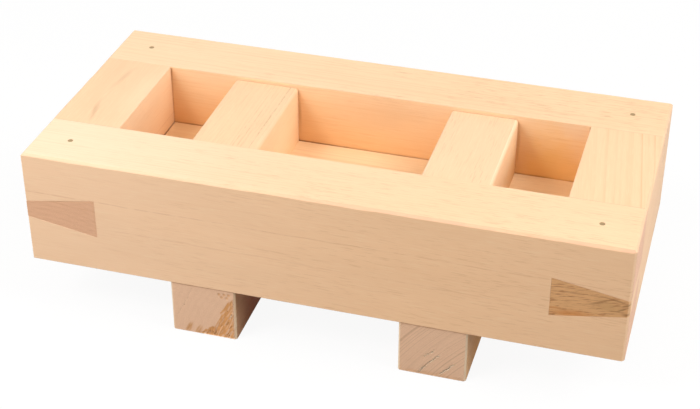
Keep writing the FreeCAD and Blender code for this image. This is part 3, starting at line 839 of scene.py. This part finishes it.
WOODS["base_board"] = softwood("base board wood", LONG, (0.0, 14.0, 90.0), 1.7, 1.0, 0.45, 41.0, stain=0.4)
WOODS["left_foot"] = softwood(
    "left foot wood", SHORT, (-3.3, 0.0, -10.0), 2.6, 0.5, 0.75, 43.0, rings=0.4,
    end_brown=(0.88, 0.575, 0.39, 1.0), end_rings=0.03, end_streaks=0.04,
    side_tone=(0.44, 0.168, 0.035, 1.0), lines=frame_shadow_line(-49.0), **FOOT_HIGHLIGHT_AND_SHINE)
WOODS["right_foot"] = softwood(
    "right foot wood", SHORT, (141.0, 0.0, -65.0), 1.25, 0.4, 0.70, 47.0, rings=0.5,
    end_brown=(0.875, 0.575, 0.39, 1.0), end_rings=0.34, end_streaks=0.06,
    side_tone=(0.90, 0.66, 0.38, 1.0), lines=frame_shadow_line(49.0), **FOOT_HIGHLIGHT_AND_SHINE)
WOODS["press_board"] = softwood(
    "press board wood", LONG, (0.0, -20.0, -30.0), 1.6, 1.0, 0.5, 53.0, rings=0.35,
    cream=(0.99, 0.75, 0.47, 1.0), stain=0.1, dashes=0.2,
    # Painted shade on the press board in the narrow left pocket, and painted light in the right one.
    smears=(smear((-88.0, 0.0, 48.0), (26.0, 60.0, 9.0), 0.50, (0.90, 0.58, 0.28, 1.0)),
            smear((88.0, 0.0, 48.0), (26.0, 60.0, 9.0), 0.45, (1.0, 0.72, 0.40, 1.0))))
WOODS["left_grip_batten"] = softwood(
    "left batten wood", SHORT, (-64.0, 0.0, 30.0), 0.72, 0.3, 0.55, 59.0, rings=0.68, side_rings=0.06,
    rings_from=(-64.0, -50.0), dotted=0.8, dashes=0.12, ring_colour=(0.58, 0.33, 0.16, 1.0), stain=0.15,
    rubbed_colour=(0.93, 0.66, 0.42, 1.0),
    # Painted light on the shaded right side of the batten.
    smears=(smear((-34.5, 8.0, 58.0), (2.0, 36.0, 20.0), 0.45, BATTEN_SIDE_LIGHT),))
WOODS["right_grip_batten"] = softwood(
    "right batten wood", SHORT, (49.0, 0.0, -36.0), 2.2, 1.0, 0.5, 61.0, rings=0.22, dotted=0.8, dashes=0.3,
    # A painted highlight on its arrises.
    cream=(0.955, 0.69, 0.445, 1.0), stain=0.1, rubbed_colour=PALE,
    # Painted light on the shaded right side of the batten.
    smears=(smear((63.5, 12.0, 59.0), (2.0, 36.0, 20.0), 0.85, BATTEN_SIDE_LIGHT),))
print(len(WOODS), "woods in all")

# %% [markdown]
# A construction model has knife-sharp edges. The real boards have had one pass of a block plane over every
# edge that a hand can reach. One width for all edges would be quick, but it would open gaps at the joints.
# So every edge is asked where it lies: most are eased by a quarter of a millimetre, the seams of the joints
# a little less, and the peg bores and the foot of the battens not at all.

# %% How far each edge is eased
HAND_EASE, SEAM_EASE, PIN_EASE, BATTEN_EASE, FOOT_EASE, SOLE_EASE = 0.25, 0.16, 0.06, 0.15, 0.19, 0.08
NEAR = 0.1
SOCKET_LOW, SOCKET_HIGH = 40.0, 59.5
CORNER_PEG, HIDDEN_PEG, BORE_REACH = (109.65, 43.7), (49.0, 15.0), 1.4
PEG_AXES = [Vector((side_x * x, side_y * y)) for x, y in (CORNER_PEG, HIDDEN_PEG)
            for side_x in (-1, 1) for side_y in (-1, 1)]


def easing(node, middle):
    """How far the edge with this middle is eased, in millimetres."""
    x, y, z = abs(middle.x), abs(middle.y), middle.z
    if any((middle.xy - axis).length < BORE_REACH for axis in PEG_AXES):
        return 0.0
    if node.endswith("side_board"):
        in_socket = x > OPENING_END - NEAR and SOCKET_LOW < z < SOCKET_HIGH
        on_shoulder = x > OPENING_END + NEAR and y < INNER_WALL + NEAR
        return SEAM_EASE if in_socket or on_shoulder else HAND_EASE
    if node.endswith("end_board"):
        on_pin = y > SIDE_HIGH.y - NEAR
        return PIN_EASE if on_pin else SEAM_EASE if y > INNER_WALL - NEAR else HAND_EASE
    if node.endswith("foot") and z < NEAR:
        return SOLE_EASE
    if node.endswith("foot") and y > millimetres(node)[1].y - NEAR:
        return FOOT_EASE
    if node.endswith("grip_batten"):
        return BATTEN_EASE if y > PRESS_HIGH.y - NEAR and z > PRESS_HIGH.z + NEAR else 0.0
    return HAND_EASE


print("hand-eased by", HAND_EASE, "mm, seams by", SEAM_EASE, "mm, soles by", SOLE_EASE, "mm")

# %% [markdown]
# The construction model comes as loose triangles. Each board is therefore copied, welded, and its flat
# faces made whole again, which is what a bevel needs. The arris round the top of the frame is in the
# model, but it is as even as a machine's. A hand plane bites more here and less there, so the boards are
# divided where one stroke ends and the next begins, and the points of the arris are moved inwards or down
# by a little chance. The corner at the right front, where the frame is picked up, is cut back by a whole
# millimetre.

# %% Weld and plane by hand
ARRIS, GRIPPED_EASE = 1.0, 1.0
TOUCHING = 0.01
UNEVEN_DOWN, UNEVEN_INWARDS = 0.34, 0.28
STROKES = {"side_board": (0, [-118.3 + 7.17 * stroke for stroke in range(34)]),
           "end_board": (1, [-21.0 + 7.0 * stroke for stroke in range(7)])}


def is_gripped_corner(point):
    """On the upright corner at the right front, where the frame is picked up."""
    return point.x > SIDE_HIGH.x - NEAR and point.y < -SIDE_HIGH.y + NEAR


def cut_through(form, along, place):
    """Divide every face that crosses one place along X or Y."""
    across = Vector((0.0, 0.0, 0.0))
    across[along] = 1.0
    whole = form.verts[:] + form.edges[:] + form.faces[:]
    bmesh.ops.bisect_plane(form, geom=whole, dist=TOUCHING, plane_co=across * place, plane_no=across)


def plane_by_hand(form, along, places):
    """Let the planed arris round the top of the frame grow and shrink a little along its length."""
    away = 1 - along
    reach = SIDE_HIGH[away]
    for place in places:
        cut_through(form, along, place)
    for vert in form.verts:
        if min(abs(vert.co[along] - place) for place in places) > TOUCHING:
            continue
        uneven = noise.noise(Vector((vert.co[along] / 11.0, 3.0 * vert.co[away] / reach, vert.co.z / 9.0)))
        outside, below_top = abs(vert.co[away]), FRAME_TOP - vert.co.z
        if abs(outside - reach) < TOUCHING and abs(below_top - ARRIS) < TOUCHING:
            vert.co.z -= UNEVEN_DOWN * uneven
        elif abs(outside - (reach - ARRIS)) < TOUCHING and abs(below_top) < TOUCHING:
            vert.co[away] -= math.copysign(UNEVEN_INWARDS * uneven, vert.co[away])


def weld(node):
    """A copy of the piece in millimetres: its triangles welded and its flat faces whole."""
    form = bmesh.new()
    form.from_mesh(NODES[node].data)
    bmesh.ops.scale(form, vec=(1 / MM,) * 3, verts=form.verts)
    bmesh.ops.remove_doubles(form, verts=form.verts, dist=0.002)
    bmesh.ops.dissolve_limit(form, angle_limit=math.radians(1.0), verts=form.verts, edges=form.edges)
    if node.endswith("side_board"):
        cut_through(form, 0, OPENING_END)
        cut_through(form, 0, -OPENING_END)
    for kind, (along, places) in STROKES.items():
        if node.endswith(kind):
            plane_by_hand(form, along, places)
    gripped = [edge for edge in form.edges if all(is_gripped_corner(vert.co) for vert in edge.verts)]
    if gripped:
        bmesh.ops.bevel(form, geom=gripped, offset=GRIPPED_EASE, offset_type="OFFSET", segments=1, profile=0.5,
                        affect="EDGES", clamp_overlap=False)
    return form


print("the gripped corner is cut back by", GRIPPED_EASE, "mm")

# %% [markdown]
# Now the edges are rounded. The easing of every crisp edge is written into the mesh, a Bevel modifier reads
# those marks, and Weighted Normal keeps the flats flat, so the light catches a thin line on each edge. An
# edge that stays crisp is marked sharp. Where three different widths meet, a bevel can push a point out by
# a hair, so the finished points are kept inside the piece's own box. The faces that lie aslant are
# numbered as arrises, for the recipe to rub.

# %% Ease the edges
CRISP, NEVER_SMOOTH = math.radians(20), math.radians(40)
SQUARE_ON = 0.95


def mark_edges(form, node):
    """Write the easing of every crisp edge into the mesh for the Bevel modifier."""
    marks = form.edges.layers.float.new("bevel_weight_edge")
    for edge in form.edges:
        if len(edge.link_faces) == 2 and edge.calc_face_angle() > CRISP:
            edge[marks] = easing(node, (edge.verts[0].co + edge.verts[1].co) / 2)
            edge.smooth = edge[marks] > 0 or edge.calc_face_angle() < NEVER_SMOOTH


def freeze(piece, **keeping):
    """Make what the modifiers give the object's plain mesh, and take them off."""
    depsgraph = bpy.context.evaluated_depsgraph_get()
    evaluated = piece.evaluated_get(depsgraph)
    piece.data = bpy.data.meshes.new_from_object(evaluated, depsgraph=depsgraph, **keeping)
    piece.modifiers.clear()


def eased(form, node):
    """Turn the form into an object whose marked edges are eased, with the arris faces numbered."""
    name = node + "_wood"
    bmesh.ops.scale(form, vec=(MM,) * 3, verts=form.verts)
    mesh = bpy.data.meshes.new(name)
    form.to_mesh(mesh)
    form.free()
    mesh.polygons.foreach_set("use_smooth", [True] * len(mesh.polygons))
    piece = stand(name, mesh)
    bevel = piece.modifiers.new("eased edges", "BEVEL")
    bevel.limit_method, bevel.width, bevel.segments, bevel.use_clamp_overlap = "WEIGHT", MM, 2, False
    piece.modifiers.new("flat flats", "WEIGHTED_NORMAL").keep_sharp = True
    freeze(piece, preserve_all_data_layers=True)
    piece.data.name = name
    low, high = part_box(node)
    for vert in piece.data.vertices:
        vert.co = [min(max(part, least), most) for part, least, most in zip(vert.co, low, high)]
    aslant = [float(max(abs(part) for part in face.normal) < SQUARE_ON) for face in piece.data.polygons]
    piece.data.attributes.new("arris", "FLOAT", "FACE").data.foreach_set("value", aslant)
    return piece


print("edges sharper than", round(math.degrees(CRISP)), "degrees are eased")

# %% [markdown]
# Sawn ends are never as smooth as planed faces. Hard summer wood stands a little proud, a blunt saw tears
# out fibres near the edges, and short cracks open along the rings as the ends dry. These are shapes that
# cast shadows, so they are cut into the mesh. Everything needed is a random value of two kinds: ridges
# that lean as the saw went, and a crack along a line that wobbles, thins out and closes in places.

# %% Ridges and cracks
def soft(value, low, high):
    """The same soft step as in the shader nodes."""
    share = min(max((value - low) / (high - low), 0.0), 1.0)
    return share * share * (3 - 2 * share)


def turned_by(across, up, lean):
    """A place on an end, measured along and across a lean."""
    cos, sin = math.cos(lean), math.sin(lean)
    return across * cos + up * sin, up * cos - across * sin


def fibres_at(across, up, lean, thickness, length, seed):
    """Random ridges that lean by an angle, about zero."""
    along, aside = turned_by(across, up, lean)
    return noise.noise(Vector((along / length, aside / thickness, seed)))


def crack_at(across, up, line, width):
    """One inside a crack, zero outside; line is two points, in millimetres from the lower left corner."""
    start, end = Vector(line[0]), Vector(line[1])
    run = end - start
    offset = Vector((across, up)) - start
    share = min(max(offset.dot(run) / run.length_squared, 0.0), 1.0)
    wobble = 0.45 * noise.noise(Vector((share * run.length / 2.2, width * 7.0 + start.x, 3.0)))
    slim = width * (0.45 + 0.55 * math.sin(math.pi * min(max(share, 0.03), 0.97)))
    off_line = run.cross(offset - run * share) / run.length + wobble
    off_end = max(offset.dot(run) / run.length - run.length, -offset.dot(run) / run.length, 0.0)
    open_here = soft(noise.noise(Vector((share * run.length / 1.1, start.y, 8.0))), -0.30, 0.15)
    return (1.0 - soft(math.hypot(off_line, off_end), slim * 0.4, slim)) * (0.22 + 0.78 * open_here)


print("ridges and cracks ready")

# %% [markdown]
# Each worn end gets a small rule of its own, which tells for any place on it how deep the wood is sunk, how
# far it is torn and how far it is cracked. Places are in millimetres from the lower left corner. The left
# foot has lost its lower right corner along a ragged edge and carries two bruises, a scratch and a few
# pits. The right foot has dried out and cracked along its rings. Every other end was sawn well.

# %% The wear of the ends
TORN_EDGE = ((0.0, 11.2), (0.9, 12.3), (2.0, 14.4), (3.3, 15.4), (4.2, 16.6), (5.2, 18.2), (7.3, 20.1),
             (10.1, 21.4), (12.4, 21.9), (16.0, 23.4), (18.5, 24.8), (20.8, 27.2))
BEYOND_THE_END = 40.0
BRUISES = ((7.4, 2.3), (11.6, 1.6))
PITS = ((21.4, 22.0), (22.5, 20.7), (23.6, 22.1), (24.8, 20.6), (25.6, 22.2))
SCRATCH = ((2.0, 6.6), (9.7, 23.0))
DRYING_CRACKS = ((((8.7, 0.8), (14.5, 8.1)), 0.36), (((14.5, 8.1), (17.4, 11.3)), 0.28),
                 (((17.4, 1.4), (24.0, 8.1)), 0.30), (((11.3, 9.2), (15.0, 13.3)), 0.28))


def torn_edge_at(up):
    """How far from the left the torn corner of the left foot begins at one height."""
    for (low, start), (high, end) in zip(TORN_EDGE, TORN_EDGE[1:]):
        if up <= high:
            return start + (end - start) * (up - low) / (high - low)
    return BEYOND_THE_END


def bruise_at(across, up, middle, lean):
    """One in the middle of a bruise, which is long along the lean."""
    along, aside = turned_by(across - middle[0], up - middle[1], lean)
    return soft(1.0 - math.hypot(along / 4.2, aside / 1.5), 0.0, 0.7)


def tear_left_foot(across, up):
    """Depth, torn and crack for the left foot: a torn lower right corner, bruises, pits and a scratch."""
    lean = math.radians(63)
    jag = 1.1 * fibres_at(across, up, lean, 0.9, 6.0, 2.0)
    jag += 0.5 * noise.noise(Vector((across / 1.2, up / 1.2, 5.0)))
    into_tear = across - torn_edge_at(up) + jag
    torn, sunk = soft(into_tear, -0.1, 0.5), soft(into_tear, -0.1, 2.6)
    ridges = 0.5 + 0.5 * fibres_at(across, up, lean, 0.5, 5.0, 9.0)
    light = soft(fibres_at(across, up, lean, 0.45, 4.0, 21.0), 0.0, 0.3) + soft(across, 26.3, 27.6)
    bruise = max(bruise_at(across, up, middle, lean) for middle in BRUISES)
    bruise *= 0.4 + 0.6 * soft(fibres_at(across, up, lean, 0.45, 6.0, 31.0), -0.25, 0.15)
    pits = max(1 - soft((Vector((across, up)) - Vector(spot)).length, 0.3, 1.0) for spot in PITS)
    scratch = crack_at(across, up, SCRATCH, 0.22)
    depth = 0.06 * sunk + 0.32 * sunk * ridges + 0.16 * pits + 0.05 * bruise + 0.06 * scratch
    dark = max(0.22 * scratch, 0.22 * pits, 0.34 * bruise, 0.13 * torn * (1.0 - light))
    return depth, max(torn * (1.0 - 0.80 * min(light, 1.0)), 0.85 * bruise, 0.5 * pits), dark


def crack_right_foot(across, up):
    """Depth, torn and crack for the right foot: thin drying cracks along the rings."""
    crack = max(crack_at(across, up, line, width) for line, width in DRYING_CRACKS)
    torn = 0.5 * soft(2.5 - up + 2.0 * fibres_at(across, up, math.radians(45), 0.8, 6.0, 4.0), 0.0, 2.5)
    return 0.30 * crack + 0.12 * torn, 0.6 * torn, 0.44 * crack


def plain_end(across, up):
    """Depth, torn and crack for an end that was sawn well."""
    torn = 0.3 * soft(2.0 - up + 2.0 * fibres_at(across, up, math.radians(50), 0.8, 6.0, 8.0), 0.0, 2.5)
    return 0.10 * torn, torn, 0.0


print(len(BRUISES), "bruises,", len(PITS), "pits,", len(DRYING_CRACKS), "drying cracks")

# %% [markdown]
# To carry such wear an end needs many points, and the rest of the board does not. So only the end face is
# divided into a fine grid, and every point is sunk by what its rule says and by the ring that it lies on.
# Points are only ever sunk, never raised, so the board stays within its size. Two numbers per point tell
# the recipe where the wood is torn or cracked.

# %% Roughen an end
GRID_CUTS = 110
SAME_PLANE, AT_THE_END, FACING_OUT = 1e-4, 0.02, 0.99


def sawn_ridges(across, up, heart, ring_width):
    """How deep the soft spring wood lies below the hard summer wood."""
    year = math.hypot(across - heart[0], up - heart[1]) / ring_width
    saw = 0.5 + 0.5 * noise.noise(Vector((across / 0.35, up / 5.0, 1.0)))
    return 0.035 * (0.5 + 0.5 * math.cos(math.tau * year)) + 0.03 * saw


def roughen(form, face, origin, sign, heart, ring_width, wear):
    """Divide an end face into a grid and sink its points along Y, keeping its outline."""
    torn_layer, crack_layer = (form.verts.layers.float.get(name) or form.verts.layers.float.new(name)
                               for name in ("torn", "crack"))
    outline = set(face.verts)
    plane = face.calc_center_median().y
    bmesh.ops.subdivide_edges(form, edges=face.edges[:], cuts=GRID_CUTS, use_grid_fill=True)
    inside = [vert for vert in form.verts if abs(vert.co.y - plane) < SAME_PLANE and vert not in outline
              and all(abs(other.calc_center_median().y - plane) < SAME_PLANE for other in vert.link_faces)]
    for vert in inside:
        depth, torn, crack = wear((vert.co.x - origin[0]) * sign, vert.co.z - origin[1])
        depth += sawn_ridges(vert.co.x, vert.co.z, heart, ring_width)
        vert[torn_layer], vert[crack_layer] = torn, crack
        vert.co.y -= math.copysign(depth, plane)


def end_faces(form, reach):
    """The two flat faces across the fibre, front first."""
    flats = [face for face in form.faces if abs(abs(face.calc_center_median().y) - reach) < AT_THE_END
             and abs(face.normal.y) > FACING_OUT]
    return sorted(flats, key=lambda face: face.calc_center_median().y)


print("each end has", (GRID_CUTS + 1) ** 2, "small faces")

# %% [markdown]
# The boards are made one by one. The feet and the pins of the dovetails show their ends at the front and
# the back of the mold, so these get the grid; the other ends are hidden or left to the recipe. The feet's
# front ends are the roughest of all, because nobody planes the end of a foot. The ridges need to know where
# the heart of the tree comes out: the fibre of the right end board leans, so in front it lies further right.

# %% Make the boards
FRONT_WEAR = {"left_foot": tear_left_foot, "right_foot": crack_right_foot}
HEARTS = {"left_foot": ((-3.3, -10.0), 2.6), "right_foot": ((141.0, -65.0), 1.25),
          "left_end_board": ((-121.0, -22.0), 2.4), "right_end_board": ((103.8, 108.0), 1.25)}
BOARDS = {}
for node, wood in WOODS.items():
    form = weld(node)
    if node in HEARTS:
        low, high = millimetres(node)
        for face, left, sign in zip(end_faces(form, high.y), (low.x, high.x), (1, -1)):
            wear = FRONT_WEAR.get(node, plain_end) if sign > 0 else plain_end
            roughen(form, face, (left, low.z), sign, *HEARTS[node], wear)
    mark_edges(form, node)
    board = eased(form, node)
    board.data.materials.append(wood)
    BOARDS[node] = board
    print(f"{node:18s} {len(board.data.polygons):6d} faces")

# %% [markdown]
# The pegs are split from bamboo with a knife, not turned: nearly round, with faint flats along them, a
# point at the lower end and a head that the mallet has crushed a little. Twelve of them differ only in
# place, length and chance, which is just what Geometry Nodes are for. The tree takes points, sets one
# shaped rod on each, turns every rod by its own random angle, and makes the copies real at the end. The
# sizes are named inputs and the chance has a fixed seed, so the pegs come out the same every time.

# %% The peg tree
RINGS_ALONG, RINGS_ACROSS = 18, 3


def make_peg_tree():
    tree = bpy.data.node_groups.new("Bamboo pegs", "GeometryNodeTree")
    tree.is_modifier = True

    def socket(label, kind, value=None, way="INPUT"):
        made = tree.interface.new_socket(label, in_out=way, socket_type=kind)
        if value is not None:
            made.default_value = value

    def downwards(distance):
        return put(tree, "ShaderNodeCombineXYZ", 0.0, 0.0, times(tree, distance, -1.0))

    socket("Geometry", "NodeSocketGeometry")
    for label, value in (("Diameter", 2.26 * MM), ("Length", 42.0 * MM), ("Point length", 2.5 * MM),
                         ("Point taper", 0.42), ("Crushed", 0.10 * MM), ("Flats", 0.10), ("Turned over", 0.0)):
        socket(label, "NodeSocketFloat", value)
    socket("Sides", "NodeSocketInt", 28)
    socket("Seed", "NodeSocketInt", 5)
    socket("Bamboo", "NodeSocketMaterial")
    socket("Geometry", "NodeSocketGeometry", way="OUTPUT")
    given = tree.nodes.new("NodeGroupInput").outputs
    result = tree.nodes.new("NodeGroupOutput").inputs

    radius = times(tree, given["Diameter"], 0.5)
    rod = put(tree, "GeometryNodeMeshCylinder", given["Sides"], RINGS_ALONG, RINGS_ACROSS, radius,
              given["Length"], fill_type="TRIANGLE_FAN")
    hanging = put(tree, "GeometryNodeSetPosition", rod, None, None, downwards(times(tree, given["Length"], 0.5)))

    parts = put(tree, "ShaderNodeSeparateXYZ", put(tree, "GeometryNodeInputPosition")).node.outputs
    flat = put(tree, "ShaderNodeCombineXYZ", parts["X"], parts["Y"], 0.0)
    below = times(tree, parts["Z"], -1.0)
    point_start = number(tree, "SUBTRACT", given["Length"], given["Point length"])
    pointing = put(tree, "ShaderNodeMapRange", below, point_start, given["Length"], 0.0, given["Point taper"])
    rim = number(tree, "POWER", number(tree, "DIVIDE", arrow(tree, "LENGTH", flat), radius), 4.0)
    at_head = put(tree, "ShaderNodeMapRange", below, 0.0, 0.02 * MM, 1.0, 0.0)
    crushed = times(tree, rim, at_head, given["Crushed"])
    ways = arrow(tree, "ADD", stretch(tree, arrow(tree, "NORMALIZE", flat), 1.3),
                 put(tree, "ShaderNodeCombineXYZ", 0.0, 0.0, times(tree, below, 40.0)))
    split = put(tree, "ShaderNodeTexNoise", ways, None, 1.0, 1.0, noise_dimensions="3D")
    slimmer = number(tree, "ADD", pointing, times(tree, split, given["Flats"]))
    inwards = stretch(tree, flat, times(tree, slimmer, -1.0))
    shaped = put(tree, "GeometryNodeSetPosition", hanging, None, None,
                 arrow(tree, "ADD", inwards, downwards(crushed)))

    chance = tree.nodes.new("FunctionNodeRandomValue")
    chance.data_type = "FLOAT"
    chance.inputs[2].default_value, chance.inputs[3].default_value = 0.0, math.tau
    tree.links.new(given["Seed"], chance.inputs["Seed"])
    spin = put(tree, "ShaderNodeCombineXYZ", given["Turned over"], 0.0, chance.outputs[1])
    set_in = put(tree, "GeometryNodeInstanceOnPoints", given["Geometry"], None, shaped, None, None, spin)
    smooth = put(tree, "GeometryNodeSetShadeSmooth", put(tree, "GeometryNodeRealizeInstances", set_in), True, False)
    tree.links.new(put(tree, "GeometryNodeSetMaterial", smooth, True, given["Bamboo"]), result["Geometry"])
    return tree


PEG_TREE = make_peg_tree()
print("Bamboo pegs:", len(PEG_TREE.nodes), "nodes")

# %% [markdown]
# Bamboo is a grass. Its end shows dark dots, the mouths of the bundles that carried its water, in a
# straw-coloured ground, and its sides show the same bundles as long dark threads. A cell texture gives
# both at once if it is drawn out along the peg: dots where it is cut across, threads where it is not.
# The heads have taken up rice vinegar and dirt for years, so they are the darkest spots of the mold.

# %% The bamboo
def make_bundles():
    inputs = {"Position": (0.0, 0.0, 0.0), "Bundle size": 0.34}
    group, given, give = effect("Bamboo bundles", inputs, {"Bundle": float, "Thread": float})
    drawn = arrow(group, "MULTIPLY", given["Position"], (1.0, 1.0, 0.02))
    space = stretch(group, drawn, number(group, "DIVIDE", 1.0, given["Bundle size"]))
    cells = put(group, "ShaderNodeTexVoronoi", space, None, 1.0)
    give("Bundle", step(group, cells, 0.18, 0.42, 1.0, 0.0))
    give("Thread", clouds(group, stretch(group, space, 2.0), 1.0))
    return group


BUNDLES = make_bundles()
STRAW, PALE_STRAW = (0.56, 0.36, 0.15, 1.0), (0.72, 0.50, 0.24, 1.0)
HEAD_BROWN, PALE_HEAD = (0.31, 0.20, 0.085, 1.0), (0.50, 0.355, 0.18, 1.0)
BUNDLE_BROWN = (0.10, 0.05, 0.025, 1.0)


def make_bamboo():
    material, tree, shader = new_material("smoked bamboo")
    place = tree.nodes.new("ShaderNodeTexCoord").outputs
    bundles = use(tree, BUNDLES, Position=stretch(tree, place["Object"], 1 / MM))
    side = tint(tree, STRAW, PALE_STRAW, bundles["Thread"])
    head = tint(tree, HEAD_BROWN, PALE_HEAD, bundles["Thread"])
    colour = tint(tree, side, head, step(tree, reach_along(tree, place["Normal"], UP), 0.6, 0.9))
    colour = tint(tree, colour, BUNDLE_BROWN, bundles["Bundle"], 0.5)
    tree.links.new(colour, shader.inputs["Base Color"])
    tree.links.new(step(tree, bundles["Thread"], 0.3, 0.7, 0.45, 0.62), shader.inputs["Roughness"])
    relief(tree, shader, bundles["Bundle"], 0.03 * MM)
    return material


BAMBOO = make_bamboo()
print("Bamboo bundles:", len(BUNDLES.nodes), "nodes")

# %% [markdown]
# One object of points per body is enough for the tree, because all pegs of a body are equally long. The
# head of each construction peg gives the point. A modifier's inputs are set by their hidden names, which
# the tree's interface tells, and before Blender first works the tree out. The result is then frozen into
# a plain mesh, so nothing depends on the tree any longer.

# %% Set the pegs
def set_pegs(name, nodes, heads_up):
    """One mesh with the pegs of one body, in place of its construction pegs."""
    boxes = [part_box(node) for node in nodes]
    heads = [((low.x + high.x) / 2, (low.y + high.y) / 2, high.z if heads_up else low.z) for low, high in boxes]
    length = boxes[0][1].z - boxes[0][0].z
    points = bpy.data.meshes.new(name)
    points.from_pydata(heads, [], [])
    pegs = stand(name, points)
    growing = pegs.modifiers.new("pegs", "NODES")
    growing.node_group = PEG_TREE
    inputs = {"Length": length, "Turned over": 0.0 if heads_up else math.pi, "Bamboo": BAMBOO}
    for socket in PEG_TREE.interface.items_tree:
        if socket.in_out == "INPUT" and socket.name in inputs:
            growing[socket.identifier] = inputs[socket.name]
    freeze(pegs)
    print(f"{name}: {len(nodes)} pegs of {length / MM:.1f} mm, {len(pegs.data.polygons)} faces")
    return pegs


PEG_NODES, PEGS = {}, {}
for body, start in (("frame", "corner_peg"), ("base", "base_peg"), ("press", "press_peg")):
    PEG_NODES[body] = [node for node in NODES if node.startswith(start)]
    PEGS[body] = set_pegs(body + "_pegs", PEG_NODES[body], heads_up=body != "press")

# %% [markdown]
# At last every piece is told what it rides on. The mold has three bodies: the base stands still, and the frame and
# the press are lifted straight up. Each dressed board stands in for the construction piece of the same place.

# %% Ride and replace
FINISHES = (
    ("frame", "side_board_wood", ("front_side_board", "back_side_board")),
    ("frame", "end_board_wood", ("left_end_board", "right_end_board")),
    ("base", "base_wood", ("base_board", "left_foot", "right_foot")),
    ("press", "press_wood", ("press_board", "left_grip_batten", "right_grip_batten")),
)
for body, finish, nodes in FINISHES:
    for node in nodes:
        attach(BOARDS[node], body)
        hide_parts(node)
for body, pegs in PEGS.items():
    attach(pegs, body)
    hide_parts(*PEG_NODES[body])

# %% [markdown]
# Dressing must not change the size. The box of the construction model and the box of the dressed model
# are written side by side, so that the two can be compared after every change. The last line hands the
# scene over.

# %% Compare the sizes and finish
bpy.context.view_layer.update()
for label, (low, high) in (("construction", CAD_BOX), ("dressed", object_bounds())):
    print(label, [round(value / MM, 2) for value in (*low, *high)])
